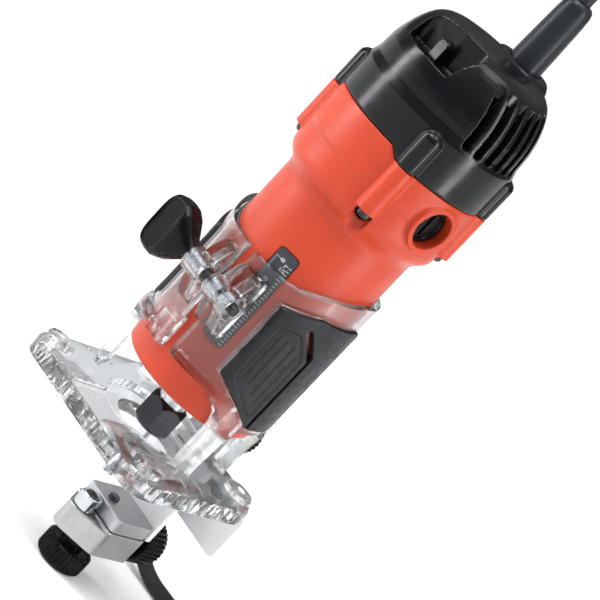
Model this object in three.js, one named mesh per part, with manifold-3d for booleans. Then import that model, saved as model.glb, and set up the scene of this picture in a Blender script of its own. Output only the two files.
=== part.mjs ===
// Trim router: a motor unit clamped in a clear base, with a roller guide hung behind the base.
// Millimetres. +Z runs up the spindle. The origin is on the spindle axis, in the plane of the
// base's sole. -Y is the front, where the base is split and clamped.
import * as THREE from 'three';
import { mergeVertices } from 'three/addons/utils/BufferGeometryUtils.js';
import Module from 'manifold-3d';

const wasm = await Module();
wasm.setup();

// ---------- driving dimensions ----------
const GAP = 0.3; // free space between neighbouring pieces
const BARREL_SIDES = 32; // facets of the large round bodies
const SHAFT_RADIUS = 5;
const ON_SHAFT = SHAFT_RADIUS + 0.1; // bore of what sits on the shaft

const MOTOR_DIAMETER = 65; // the clamped barrel of the motor unit
const MOTOR_RADIUS = MOTOR_DIAMETER / 2;
const MOTOR_TURN = -9.5; // degrees the motor unit is turned in the base
const HOUSING_BOTTOM = 32;
const SHOULDER_BOTTOM = 131; // where the barrel widens to the motor head
const HEAD_RADIUS = 38.4;
const JOINT_FRONT = 171; // joint between housing and cap, front and back
const JOINT_SIDE = 167.4; // the same joint, lower over the brush caps
const CAP_TOP = 221;
const BOSS_RADIUS = 5.1; // screw pillars
const BOSS_CENTRE = 36.8; // from the spindle axis
const BOSS_ANGLE = 49; // degrees from the front and from the back
const BOSS_BOTTOM = 144.3;
const BOSS_TOP = 186.6;
const BRUSH_HEIGHT = 154.2;
const SCALE_ANGLE = 32.8; // degrees from the motor's front to the middle of the depth scale

const BASE_HALF_WIDTH = 45.5;
const BASE_FRONT = -45;
const BASE_REAR = 38;
const DECK_TOP = 10;
const SLEEVE_BORE = MOTOR_RADIUS + 0.25;
const SLEEVE_RADIUS = 35.7;
const SLEEVE_FRONT_TOP = 100.5;
const SLEEVE_SIDE_TOP = 110.8;
const SLEEVE_FRONT_BOTTOM = 46.7;
const SLEEVE_SIDE_BOTTOM = 38;
const PAD_INNER = 34.3;
const PAD_OUTER = 37;

const CLAMP_Y = -42; // clamp screw axis, parallel to X
const CLAMP_Z = 80.6;

const KNOB_RADIUS = 11.4; // all three knurled knobs
const PLATE_Y = BASE_REAR + GAP; // front face of the guide plate
const PLATE_THICKNESS = 2;
const ARM_FRONT = 27;
const ARM_THICKNESS = 3;
const GUIDE_SCREW = { x: 1, z: 20.5 }; // fixes the guide to the base, axis along Y
const ADJUST_SCREW = { x: 8, z: -43.5 }; // moves the slider, axis along Y
const SLIDE_SCREW = { x: 5.5, y: 10 }; // clamps the slider, axis along Z
const SLIDE_TRAVEL = 4; // how far the slider comes forward
const ROLLER = { x: 5.3, y: -2.9, radius: 5, bottom: -37.2, top: -30.3 };
const BLOCK_LEFT = -5; // the holder and the arm behind it
const BLOCK_RIGHT = 21;
const BLOCK_FRONT = 2.5;
const HOLDER_TOP = -29.3;
const HOLDER_BOTTOM = -36;
const SLIDER_TOP = HOLDER_BOTTOM - GAP;
const SLIDER_BOTTOM = -49.5;
const LUG = { y0: 17.5, y1: 20.5 }; // nut lug of the holder, standing in the slider's pocket

const FLOOR = -66.9; // what the lowest knob reaches
const CORD_RADIUS = 3.5;
const GUARD_CENTRE = { x: 0, y: 15.3 }; // in the motor unit's own frame
const GUARD_TOP = 256;
const COIL = { x: 112, y: 24, inner: 25.6, outer: 55, height: 14.6 }; // two layers of turns

// ---------- materials ----------
const material = (color, roughness, metalness, extra = {}) =>
  new THREE.MeshStandardMaterial({ color, roughness, metalness, ...extra });
const MATERIALS = {
  housing: material(0xe04a2c, 0.45, 0),
  black: material(0x1b1e22, 0.5, 0),
  rubber: material(0x2a2f36, 0.85, 0),
  clear: material(0xe9eef2, 0.08, 0, { transparent: true, opacity: 0.35 }),
  steel: material(0xb9bdc2, 0.3, 1),
  darkSteel: material(0x3a3d41, 0.4, 1),
  brass: material(0xc8a050, 0.35, 1),
  copper: material(0xb4693a, 0.4, 1),
  castAluminium: material(0xb4b6b8, 0.5, 0.9),
  whitePlate: material(0xdfe1e2, 0.4, 0.3),
  graphite: material(0x2b2b2d, 0.7, 0.1),
  insulator: material(0x8c5a3c, 0.6, 0),
  scale: material(0x3c4044, 0.5, 0.2),
};

// ---------- solids ----------
// A closed three.js geometry as a manifold solid with its faces pointing out.
function solidOf(geometry) {
  geometry.deleteAttribute('normal');
  geometry.deleteAttribute('uv');
  const merged = mergeVertices(geometry, 1e-4);
  const positions = merged.getAttribute('position').array;
  const corners = merged.index.array;
  const kept = [];
  for (let i = 0; i < corners.length; i += 3) {
    const [a, b, c] = [corners[i], corners[i + 1], corners[i + 2]];
    if (a !== b && b !== c && c !== a) kept.push(a, b, c);
  }
  const build = (triangles) =>
    new wasm.Manifold(new wasm.Mesh({
      numProp: 3,
      vertProperties: new Float32Array(positions),
      triVerts: new Uint32Array(triangles),
    }));
  const solid = build(kept);
  if (solid.volume() > 0) return solid;
  const flipped = [];
  for (let i = 0; i < kept.length; i += 3) flipped.push(kept[i], kept[i + 2], kept[i + 1]);
  return build(flipped);
}

function geometryOf(solid) {
  const mesh = solid.getMesh();
  const geometry = new THREE.BufferGeometry();
  geometry.setAttribute('position', new THREE.BufferAttribute(new Float32Array(mesh.vertProperties), 3));
  geometry.setIndex(new THREE.BufferAttribute(new Uint32Array(mesh.triVerts), 1));
  geometry.computeVertexNormals();
  return geometry;
}

const join = (...solids) => solids.reduce((sum, next) => sum.add(next));
const cut = (solid, ...tools) => tools.reduce((rest, tool) => rest.subtract(tool), solid);

function block(x0, x1, y0, y1, z0, z1) {
  const geometry = new THREE.BoxGeometry(x1 - x0, y1 - y0, z1 - z0);
  geometry.translate((x0 + x1) / 2, (y0 + y1) / 2, (z0 + z1) / 2);
  return solidOf(geometry);
}

// Turns a geometry built along +Z so that it runs along the named axis.
function alongAxis(geometry, axis) {
  const along = {
    x: [0, 0, 1, 0, 1, 0, 0, 0, 0, 1, 0, 0, 0, 0, 0, 1],
    y: [1, 0, 0, 0, 0, 0, -1, 0, 0, 1, 0, 0, 0, 0, 0, 1],
  };
  if (axis !== 'z') geometry.applyMatrix4(new THREE.Matrix4().set(...along[axis]));
  return geometry;
}

// A solid of revolution. The profile lists [radius, height]; the axis passes through a and b,
// which are the other two coordinates in x, y, z order.
function turned(profile, sides, axis = 'z', a = 0, b = 0) {
  const points = profile.map(([r, h]) => new THREE.Vector2(r, h));
  if (profile[0][0] > 0) points.push(points[0].clone());
  const geometry = new THREE.LatheGeometry(points, sides);
  geometry.rotateX(Math.PI / 2);
  if (axis === 'x') geometry.rotateY(Math.PI / 2);
  if (axis === 'y') geometry.rotateX(-Math.PI / 2);
  if (axis === 'z') geometry.translate(a, b, 0);
  if (axis === 'x') geometry.translate(0, a, b);
  if (axis === 'y') geometry.translate(a, 0, b);
  return solidOf(geometry);
}

const rod = (radius, from, to, sides, axis, a, b) =>
  turned([[0, from], [radius, from], [radius, to], [0, to]], sides, axis, a, b);
const ring = (inner, outer, from, to, sides, axis, a, b) =>
  turned([[inner, from], [outer, from], [outer, to], [inner, to]], sides, axis, a, b);

// A flat outline pushed from one height to another: along z the outline is in x and y,
// along x it is in y and z, along y it is in x and z.
function prism(outline, axis, from, to) {
  const shape = outline instanceof THREE.Shape
    ? outline
    : new THREE.Shape(outline.map(([u, v]) => new THREE.Vector2(u, v)));
  const options = { depth: to - from, bevelEnabled: false, curveSegments: 5 };
  const geometry = new THREE.ExtrudeGeometry(shape, options);
  alongAxis(geometry, axis);
  if (axis === 'z') geometry.translate(0, 0, from);
  if (axis === 'x') geometry.translate(from, 0, 0);
  if (axis === 'y') geometry.translate(0, to, 0);
  return solidOf(geometry);
}

function roundedRectangle(x0, x1, y0, y1, radius) {
  const shape = new THREE.Shape();
  shape.absarc(x1 - radius, y1 - radius, radius, 0, Math.PI / 2);
  shape.absarc(x0 + radius, y1 - radius, radius, Math.PI / 2, Math.PI);
  shape.absarc(x0 + radius, y0 + radius, radius, Math.PI, 1.5 * Math.PI);
  shape.absarc(x1 - radius, y0 + radius, radius, 1.5 * Math.PI, 2 * Math.PI);
  return shape;
}

// Moves every corner of an anticlockwise outline outwards by the same distance.
function grown(outline, distance) {
  const count = outline.length;
  return outline.map(([x, y], i) => {
    const before = outline[(i + count - 1) % count];
    const after = outline[(i + 1) % count];
    const one = new THREE.Vector2(y - before[1], before[0] - x).normalize();
    const two = new THREE.Vector2(after[1] - y, x - after[0]).normalize();
    const mitre = one.clone().add(two).divideScalar(1 + one.dot(two));
    return [x + mitre.x * distance, y + mitre.y * distance];
  });
}

const mirrorX = (solid) => solid.mirror([1, 0, 0]);
const spun = (solid, degrees) => solid.rotate([0, 0, degrees]);

// ---------- scene ----------
const router = new THREE.Group();
const motorUnit = new THREE.Group();
motorUnit.rotation.z = THREE.MathUtils.degToRad(MOTOR_TURN);
router.add(motorUnit);

function add(parent, name, solid, surface) {
  const mesh = new THREE.Mesh(geometryOf(solid), surface);
  mesh.name = name;
  parent.add(mesh);
}

// ---------- clear base ----------
const PAD_OUTLINE = [
  [-26, 55.3], [-4.6, 41.3], [16, 41.3], [26, 50], [26, 93], [14, 98.9], [-11.7, 98.2], [-26, 92.8],
];
const PAD_WINDOW = [[-1.9, 40], [-1.9, 81.4], [-12.4, 92.1], [-15.2, 91.2], [-3.6, 79.2], [-3.6, 40]];

function deck() {
  const outline = roundedRectangle(-BASE_HALF_WIDTH, BASE_HALF_WIDTH, BASE_FRONT, BASE_REAR, 9);
  const bevel = 3;
  const slab = new THREE.ExtrudeGeometry(outline, {
    depth: DECK_TOP - bevel,
    bevelThickness: bevel,
    bevelSize: bevel,
    bevelOffset: -bevel,
    bevelSegments: 2,
    curveSegments: 4,
  });
  return cut(solidOf(slab), block(-60, 60, -60, 60, -20, 0));
}

function sleeveRing() {
  const wall = ring(SLEEVE_BORE, SLEEVE_RADIUS, DECK_TOP - 2, SLEEVE_SIDE_TOP, BARREL_SIDES);
  const legs = turned([
    [SLEEVE_BORE, DECK_TOP - 2], [37.2, DECK_TOP - 2], [37.4, 20], [38.8, 44.5], [38.6, 48.5],
    [SLEEVE_RADIUS, 50.5], [SLEEVE_BORE, 50.5],
  ], BARREL_SIDES);
  const belowPads = join(block(-60, 60, -8, 26.5, 36, 60), block(-12, 8, -60, 0, 40, 60));
  return join(wall, cut(legs, belowPads));
}

function sleeve() {
  const topLine = [[-60, 130], [-60, SLEEVE_FRONT_TOP], [-27, SLEEVE_FRONT_TOP], [-15, 106.5],
    [6, SLEEVE_SIDE_TOP], [6, 130]];
  const frontUnder = [[-60, 5], [-15.4, 5], [-15.4, 34], [-16.2, 38.5], [-21, 42.8], [-26, 45.8],
    [-30, SLEEVE_FRONT_BOTTOM], [-60, SLEEVE_FRONT_BOTTOM]];
  const sideWindow = [[-8.6, DECK_TOP], [27, DECK_TOP], [27, 32], [23, SLEEVE_SIDE_BOTTOM],
    [-4, SLEEVE_SIDE_BOTTOM], [-8.6, 34]];
  const rearWindow = [[-15.5, DECK_TOP], [15.5, DECK_TOP], [15.5, 41], [11, SLEEVE_FRONT_BOTTOM],
    [-11, SLEEVE_FRONT_BOTTOM], [-15.5, 41]];
  return cut(
    sleeveRing(),
    prism(topLine, 'x', -60, 60),
    cut(prism(frontUnder, 'x', -60, 60), block(-60, 60, -60, 60, 0, DECK_TOP - 0.5)),
    prism(sideWindow, 'x', -60, 60),
    prism(rearWindow, 'y', 10, 60),
  );
}

function ear(x0, x1, webX0, webX1) {
  const web = [[-33, 65], [-39.5, 65.5], [-44, 74], [-44, 87.5], [-39.5, 95], [-33, 95.5]];
  return join(prism(web, 'x', webX0, webX1), rod(6, x0, x1, 24, 'x', CLAMP_Y, CLAMP_Z));
}

function baseShell() {
  const rearBlock = block(-9, 11, 33.2, BASE_REAR - 0.1, DECK_TOP - 1, 30);
  const tab = block(-11, -0.2, -36.3, -32, 44.5, 56);
  let shell = join(deck(), sleeve(), ear(-12.2, -2.2, -9.2, -2.2), ear(3.3, 19.2, 5, 17.6), rearBlock, tab);
  for (const x of [-36.5, 36.5]) {
    for (const y of [-36, 28.5]) {
      shell = join(shell, rod(7, DECK_TOP - 2, 12.6, 16, 'z', x, y));
      shell = cut(shell, rod(2.3, 3, 14, 8, 'z', x, y));
    }
  }
  const recess = cut(ring(PAD_INNER - GAP, 60, 30, 110, BARREL_SIDES), block(-20, 20, -60, 60, 20, 120))
    .intersect(prism(grown(PAD_OUTLINE, GAP), 'x', -60, 60));
  const barrel = join(
    rod(SLEEVE_BORE, DECK_TOP, 130, BARREL_SIDES, 'z', 0, 0),
    rod(25, 6, 20, 36, 'z', 0, 0),
    rod(16.5, -1, 20, 32, 'z', 0, 0),
  );
  return cut(
    shell,
    recess,
    barrel,
    block(-2.2, 3.3, -60, -20, 60, 130),
    block(-0.2, 5.1, -60, -20, 40, 64),
    block(-14, 10, -60, -20, 8.2, 12),
    rod(3.7, -20, 10, 24, 'x', CLAMP_Y, CLAMP_Z),
    rod(2.8, 8, 30, 20, 'x', CLAMP_Y, CLAMP_Z),
    rod(5.1, 13, 30, 24, 'x', CLAMP_Y, CLAMP_Z),
    rod(4.5, 33.1, 60, 20, 'y', GUIDE_SCREW.x, GUIDE_SCREW.z),
  );
}

function gripPad() {
  const band = ring(PAD_INNER, PAD_OUTER, 30, 110, BARREL_SIDES);
  const rightSide = cut(band, block(-60, 20, -60, 60, 20, 120));
  return cut(rightSide.intersect(prism(PAD_OUTLINE, 'x', 0, 60)), prism(PAD_WINDOW, 'x', 0, 60));
}

add(router, 'base_shell', baseShell(), MATERIALS.clear);
add(router, 'grip_pad_right', gripPad(), MATERIALS.rubber);
add(router, 'grip_pad_left', mirrorX(gripPad()), MATERIALS.rubber);

// ---------- base clamp ----------
// A paddle knob: round at the neck, wide and flat at the far end, dished for the thumb.
function clampKnob() {
  const sections = [
    { x: -13.5, y: 6.6, z: 6.8 }, { x: -16, y: 6.8, z: 8 }, { x: -21, y: 6.9, z: 11.2 },
    { x: -26, y: 6.6, z: 13.4 }, { x: -31, y: 6.4, z: 13.9 }, { x: -35.5, y: 6.1, z: 13 },
    { x: -37.6, y: 4.8, z: 10.8 },
  ];
  const sides = 16;
  const positions = [];
  sections.forEach(({ x, y, z }, row) => {
    const squareness = 1 - 0.35 * Math.min(1, row / 3); // circle at the neck, rounded box at the end
    for (let i = 0; i < sides; i += 1) {
      const angle = (2 * Math.PI * i) / sides;
      const c = Math.cos(angle);
      const s = Math.sin(angle);
      positions.push(x, CLAMP_Y + y * Math.sign(c) * Math.abs(c) ** squareness,
        CLAMP_Z + z * Math.sign(s) * Math.abs(s) ** squareness);
    }
  });
  const last = sections.length - 1;
  const centres = [sections[0].x, CLAMP_Y, CLAMP_Z, sections[last].x, CLAMP_Y, CLAMP_Z];
  const index = [];
  for (let row = 0; row < last; row += 1) {
    for (let i = 0; i < sides; i += 1) {
      const a = row * sides + i;
      const b = row * sides + ((i + 1) % sides);
      index.push(a, b, a + sides, b, b + sides, a + sides);
    }
  }
  const start = sections.length * sides;
  for (let i = 0; i < sides; i += 1) {
    const next = (i + 1) % sides;
    index.push(start, next, i);
    index.push(start + 1, last * sides + i, last * sides + next);
  }
  const geometry = new THREE.BufferGeometry();
  geometry.setAttribute('position', new THREE.Float32BufferAttribute([...positions, ...centres], 3));
  geometry.setIndex(index);
  const dish = prism(roundedRectangle(-35.8, -26.4, CLAMP_Z - 11.4, CLAMP_Z + 11.4, 3.5), 'y',
    CLAMP_Y - 12, CLAMP_Y - 5);
  const backDish = prism(roundedRectangle(-35.8, -26.4, CLAMP_Z - 11.4, CLAMP_Z + 11.4, 3.5), 'y',
    CLAMP_Y + 5, CLAMP_Y + 12);
  return cut(solidOf(geometry), dish, backDish, rod(2.7, -24.3, -10, 16, 'x', CLAMP_Y, CLAMP_Z));
}

add(router, 'clamp_knob', clampKnob(), MATERIALS.black);
add(router, 'clamp_screw', rod(2.4, -24, 20.4, 16, 'x', CLAMP_Y, CLAMP_Z), MATERIALS.darkSteel);
add(router, 'clamp_sleeve', ring(2.5, 3.4, -12.9, -2.6, 16, 'x', CLAMP_Y, CLAMP_Z), MATERIALS.steel);
add(router, 'clamp_bush', ring(2.5, 3.4, 3.5, 9.7, 16, 'x', CLAMP_Y, CLAMP_Z), MATERIALS.steel);
const clampNut = cut(
  rod(4.6, 13.3, 17.3, 6, 'x', CLAMP_Y, CLAMP_Z),
  rod(2.6, 13, 18, 16, 'x', CLAMP_Y, CLAMP_Z),
);
add(router, 'clamp_nut', clampNut, MATERIALS.steel);

// ---------- guide ----------
// A ribbed knob with a collar, built along +Z from its mounting end. Its outline is a ring of
// flat-topped ribs.
function knurledKnob(collar, length, axis, from, a, b) {
  const ribs = 14;
  const outline = [];
  for (let i = 0; i < ribs; i += 1) {
    for (const [turn, radius] of [[-0.36, KNOB_RADIUS - 1.1], [-0.25, KNOB_RADIUS], [0.25, KNOB_RADIUS],
      [0.36, KNOB_RADIUS - 1.1]]) {
      const angle = (2 * Math.PI * (i + turn)) / ribs;
      outline.push([radius * Math.cos(angle), radius * Math.sin(angle)]);
    }
  }
  const knob = cut(
    join(prism(outline, 'z', collar, length), rod(5.5, 0, collar + 1, 16)),
    rod(2.7, -1, length - 3, 12),
  );
  if (axis === 'y') return knob.rotate([-90, 0, 0]).translate([a, from, b]);
  return knob.rotate([180, 0, 0]).translate([a, b, from]);
}

function guideBracket() {
  const plateRear = PLATE_Y + PLATE_THICKNESS;
  const wing = prism(roundedRectangle(-42.8, 42.8, -21, 2, 2.5), 'y', PLATE_Y, plateRear);
  const tongue = prism(roundedRectangle(-11, 13, -4, 30, 4), 'y', PLATE_Y, plateRear);
  const arm = block(BLOCK_LEFT, BLOCK_RIGHT, ARM_FRONT, ARM_FRONT + ARM_THICKNESS, HOLDER_BOTTOM, -0.6);
  const web = block(BLOCK_LEFT, BLOCK_RIGHT, ARM_FRONT, PLATE_Y + 0.5, -3.6, -0.6);
  return cut(
    join(wing, tongue, arm, web),
    rod(2.7, PLATE_Y - 1, plateRear + 1, 16, 'y', GUIDE_SCREW.x, GUIDE_SCREW.z),
  );
}

// The fixed block. Its lug hangs into the slider and holds the adjusting screw's thread.
function guideHolder() {
  const slab = prism(
    roundedRectangle(BLOCK_LEFT, BLOCK_RIGHT, BLOCK_FRONT, ARM_FRONT - GAP, 2), 'z', HOLDER_BOTTOM, HOLDER_TOP,
  );
  const lug = block(
    ADJUST_SCREW.x - 3, ADJUST_SCREW.x + 3, LUG.y0, LUG.y1, ADJUST_SCREW.z - 4, HOLDER_BOTTOM + 1,
  );
  return cut(
    join(slab, lug),
    rod(2.5, -60, 0, 16, 'z', SLIDE_SCREW.x, SLIDE_SCREW.y),
    rod(2.5, 10, 26, 16, 'y', ADJUST_SCREW.x, ADJUST_SCREW.z),
  );
}

// The moving block: a wedge with the roller on its tip, slotted for its clamp screw and hollowed
// for the holder's lug.
function guideSlider() {
  const rear = 27.8;
  const tip = [[-6.9, 4.5], [0.2, -6.6], [3.2, -8.6], [6.6, -8.6], [21.1, 2.5]];
  const body = prism([...tip, [21.1, rear], [-6.9, rear]], 'z', SLIDER_BOTTOM, SLIDER_TOP);
  const rollerShelf = block(-10, 30, -20, BLOCK_FRONT - GAP, ROLLER.bottom - GAP, -30);
  const cornerCut = [[-20, -60], [-20, -45], [-6.9, -45], [-1.5, SLIDER_BOTTOM - 0.1], [-1.5, -60]];
  const slotEnd = SLIDE_SCREW.y + SLIDE_TRAVEL;
  const pocketFront = LUG.y0 - 2;
  return cut(
    body,
    rollerShelf,
    prism(cornerCut, 'y', -10, 12),
    rod(2.8, -60, -30, 16, 'z', SLIDE_SCREW.x, SLIDE_SCREW.y),
    rod(2.8, -60, -30, 16, 'z', SLIDE_SCREW.x, slotEnd),
    block(SLIDE_SCREW.x - 2.8, SLIDE_SCREW.x + 2.8, SLIDE_SCREW.y, slotEnd, -60, -30),
    block(ADJUST_SCREW.x - 3.3, ADJUST_SCREW.x + 3.3, pocketFront, LUG.y1 + SLIDE_TRAVEL + GAP,
      ADJUST_SCREW.z - 4.4, -30),
    rod(2.5, LUG.y1, rear + 1, 16, 'y', ADJUST_SCREW.x, ADJUST_SCREW.z),
    rod(1.5, -43, -30, 12, 'z', ROLLER.x, ROLLER.y),
  );
}

add(router, 'guide_bracket', guideBracket(), MATERIALS.whitePlate);
add(router, 'guide_holder', guideHolder(), MATERIALS.castAluminium);
add(router, 'guide_slider', guideSlider(), MATERIALS.castAluminium);
add(router, 'roller_axle', rod(1.45, -42.8, ROLLER.top - 0.6, 12, 'z', ROLLER.x, ROLLER.y),
  MATERIALS.darkSteel);
add(router, 'guide_roller', ring(3.5, ROLLER.radius, ROLLER.bottom, ROLLER.top, 28, 'z', ROLLER.x, ROLLER.y),
  MATERIALS.steel);
add(router, 'roller_bearing',
  ring(1.55, 3.4, ROLLER.bottom + 0.4, ROLLER.top - 0.4, 20, 'z', ROLLER.x, ROLLER.y),
  MATERIALS.darkSteel);

const guideKnobStart = PLATE_Y + PLATE_THICKNESS + GAP;
add(router, 'guide_insert', ring(2.5, 4.2, 33.4, BASE_REAR - 0.4, 16, 'y', GUIDE_SCREW.x, GUIDE_SCREW.z),
  MATERIALS.brass);
add(router, 'guide_screw', rod(2.4, 33.6, 51, 16, 'y', GUIDE_SCREW.x, GUIDE_SCREW.z), MATERIALS.steel);
add(router, 'guide_knob', knurledKnob(3.4, 15.4, 'y', guideKnobStart, GUIDE_SCREW.x, GUIDE_SCREW.z),
  MATERIALS.black);
add(router, 'adjust_screw', rod(2.4, 17, 44.5, 16, 'y', ADJUST_SCREW.x, ADJUST_SCREW.z), MATERIALS.steel);
add(router, 'adjust_knob', knurledKnob(8.5, 21.2, 'y', 28.3, ADJUST_SCREW.x, ADJUST_SCREW.z), MATERIALS.black);
add(router, 'slide_screw', rod(2.4, -62, HOLDER_TOP + 1.8, 16, 'z', SLIDE_SCREW.x, SLIDE_SCREW.y),
  MATERIALS.darkSteel);
add(router, 'slide_knob',
  knurledKnob(6.4, SLIDER_BOTTOM - GAP - FLOOR, 'z', SLIDER_BOTTOM - GAP, SLIDE_SCREW.x, SLIDE_SCREW.y),
  MATERIALS.black);

// ---------- motor unit: housing and cap ----------
const jointLine = (lift) => [
  [-60, JOINT_SIDE + lift], [-24.5, JOINT_SIDE + lift], [-21, JOINT_FRONT + lift], [21, JOINT_FRONT + lift],
  [24.5, JOINT_SIDE + lift], [60, JOINT_SIDE + lift],
];

function pillars(radius, from, to, domed) {
  const angles = [BOSS_ANGLE, 180 - BOSS_ANGLE, 180 + BOSS_ANGLE, -BOSS_ANGLE];
  const profile = domed
    ? [[0, from], [radius, from], [radius, to - 3.6], [radius * 0.8, to - 1], [radius * 0.4, to], [0, to]]
    : [[0, from], [radius, from], [radius, to], [0, to]];
  const pillar = turned(profile, 12, 'z', 0, -BOSS_CENTRE);
  return angles.map((angle) => spun(pillar, angle));
}

// The front of a ring, as wide as twice halfWidth.
const frontStrip = (band, halfWidth) => cut(
  band,
  block(-50, 50, -20, 50, 50, 120),
  block(-50, -halfWidth, -50, 50, 50, 120),
  block(halfWidth, 50, -50, 50, 50, 120),
);

function housing() {
  const shell = turned([
    [8.2, HOUSING_BOTTOM], [31, HOUSING_BOTTOM], [32.3, HOUSING_BOTTOM + 1.2], [MOTOR_RADIUS, HOUSING_BOTTOM + 4],
    [MOTOR_RADIUS, SHOULDER_BOTTOM], [33.2, 134], [36.9, 137.5], [38.1, 141.5], [38.2, 152.4], [HEAD_RADIUS, 152.6],
    [HEAD_RADIUS, JOINT_FRONT], [35.4, JOINT_FRONT], [35.4, 143], [29.6, 136], [29.6, 38], [16.5, 38],
    [16.5, 45.5], [13.15, 45.5], [13.15, 34.8], [8.2, 34.8],
  ], BARREL_SIDES);
  const brushPort = rod(11, 30, 39.5, 24, 'x', 0, BRUSH_HEIGHT);
  const airHole = block(18, 28, -2.6, 2.6, 31, 39);
  const airHoles = [...Array(6).keys()].map((i) => spun(airHole, 60 * i));
  const scaleSeat = spun(frontStrip(ring(31.4, 40, 61.2, 110.2, BARREL_SIDES), 5.3), SCALE_ANGLE);
  return cut(
    join(shell, brushPort, mirrorX(brushPort), ...pillars(BOSS_RADIUS, BOSS_BOTTOM, JOINT_FRONT, false)),
    rod(8.6, 31.5, 60, 24, 'x', 0, BRUSH_HEIGHT),
    rod(8.6, -60, -31.5, 24, 'x', 0, BRUSH_HEIGHT),
    rod(7.8, -32, 32, 16, 'x', 0, BRUSH_HEIGHT),
    prism([...jointLine(-0.15), [60, 230], [-60, 230]], 'y', -60, 60),
    ...pillars(1.8, 120, 190, false),
    ...pillars(3.9, 125, BOSS_BOTTOM, false),
    ...airHoles,
    scaleSeat,
  );
}

const CAP_OUTSIDE = [
  [0, 160], [HEAD_RADIUS, 160], [HEAD_RADIUS, 187], [37.3, 190.3], [36.6, 198.8], [34.4, 208], [31, 215],
  [25.2, 219.3], [10, CAP_TOP], [0, CAP_TOP],
];
const CAP_INSIDE = [[0, 150], [35.4, 150], [35.4, 186], [33.6, 200], [30.2, 210], [24, 215.8], [0, 217.8]];

const SWITCH_POCKET = [
  [-9.8, -45], [16, -45], [16.6, -31], [18, -23.5], [17, -20], [13.5, -18.7], [4, -23.3], [-12.6, -26],
  [-14, -28], [-12.2, -31.5],
];
const POCKET_FLOOR = 203.8;
const LEVER = { x: 3, y: -28, top: 214 };

function ventSlots() {
  const pitch = 6.2;
  const slots = [];
  for (let i = 0; i < 6; i += 1) {
    const y = -14.3 + pitch * i;
    slots.push(block(10, 60, y - 1.7, y + 1.7, 188, 216.5));
  }
  const rim = rod(30.2, 150, 230, 32);
  return cut(join(...slots), rim);
}

function cap() {
  const outside = turned(CAP_OUTSIDE, BARREL_SIDES);
  const inside = turned(CAP_INSIDE, 32);
  const ventBacking = cut(block(15, 60, -18, 20.5, 185.5, 217), rod(30.5, 150, 230, 32));
  const pocketBacking = prism(grown(SWITCH_POCKET, 2.2), 'z', POCKET_FLOOR - 2.4, 219);
  const lining = join(ventBacking, mirrorX(ventBacking), pocketBacking).intersect(outside);
  const collar = turned([[0, 214], [14, 214], [12.4, 221.4], [11.4, 222.4], [0, 222.4]], 32, 'z',
    GUARD_CENTRE.x, GUARD_CENTRE.y);
  const collarBody = cut(collar, rod(40, 200, 216.2, 32));
  const vents = ventSlots();
  return cut(
    join(cut(outside, inside), lining, collarBody, ...pillars(BOSS_RADIUS, 160, BOSS_TOP, true)),
    prism([[-60, 140], [60, 140], ...jointLine(0.15).reverse()], 'y', -60, 60),
    prism(SWITCH_POCKET, 'z', POCKET_FLOOR, 240),
    block(LEVER.x - 3.7, LEVER.x + 3.7, -33.2, -24.9, 190, 210),
    vents,
    mirrorX(vents),
    rod(8, 205, 240, 32, 'z', GUARD_CENTRE.x, GUARD_CENTRE.y),
    ...pillars(1.8, 150, 181, false),
  );
}

function cordGuard() {
  return turned([
    [0, 210.2], [9.4, 210.2], [9.4, 213.2], [7.7, 213.5], [7.7, 224], [7.4, 236], [7, 250], [6.2, GUARD_TOP - 1.4],
    [4.8, GUARD_TOP], [0, GUARD_TOP],
  ], 24, 'z', GUARD_CENTRE.x, GUARD_CENTRE.y);
}

function scalePlate() {
  return spun(frontStrip(ring(31.75, 32.45, 61.6, 109.8, BARREL_SIDES), 5), SCALE_ANGLE);
}

add(motorUnit, 'motor_housing', housing(), MATERIALS.housing);
add(motorUnit, 'top_cap', cap(), MATERIALS.black);
add(motorUnit, 'cord_guard', cordGuard(), MATERIALS.rubber);
add(motorUnit, 'depth_scale', scalePlate(), MATERIALS.scale);

const capScrew = join(
  turned([[0, 141.6], [2.2, 141.6], [3.2, 142.8], [3.2, 144], [0, 144]], 10, 'z', 0, -BOSS_CENTRE),
  rod(1.5, 143, 179, 6, 'z', 0, -BOSS_CENTRE),
);
[['front_right', BOSS_ANGLE], ['back_right', 180 - BOSS_ANGLE], ['back_left', 180 + BOSS_ANGLE],
  ['front_left', -BOSS_ANGLE]].forEach(([place, angle]) =>
  add(motorUnit, `cap_screw_${place}`, spun(capScrew, angle), MATERIALS.steel));

// ---------- switch ----------
function switchBody() {
  const body = block(LEVER.x - 7, LEVER.x + 7, -32.4, -20, 182, POCKET_FLOOR - 2.7);
  const socket = block(LEVER.x - 3.2, LEVER.x + 3.2, -31.8, -24.2, 194.5, 204);
  return cut(body, socket).intersect(turned(CAP_INSIDE, 32).scale([0.985, 0.985, 1]));
}

function switchLever() {
  const side = new THREE.Shape();
  side.moveTo(-2.5, 196.4);
  side.lineTo(2.5, 196.4);
  side.lineTo(2.5, LEVER.top - 2.5);
  side.absarc(0, LEVER.top - 2.5, 2.5, 0, Math.PI);
  const bar = prism(side, 'x', LEVER.x - 2.8, LEVER.x + 2.8).translate([0, LEVER.y, 0]);
  const front = new THREE.Shape();
  front.moveTo(-2.8, 190);
  front.lineTo(2.8, 190);
  front.lineTo(2.8, LEVER.top - 2.8);
  front.absarc(0, LEVER.top - 2.8, 2.8, 0, Math.PI);
  return bar.intersect(prism(front, 'y', -40, -10).translate([LEVER.x, 0, 0]));
}

add(motorUnit, 'switch_body', switchBody(), MATERIALS.graphite);
add(motorUnit, 'switch_lever', switchLever(), MATERIALS.black);

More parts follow.
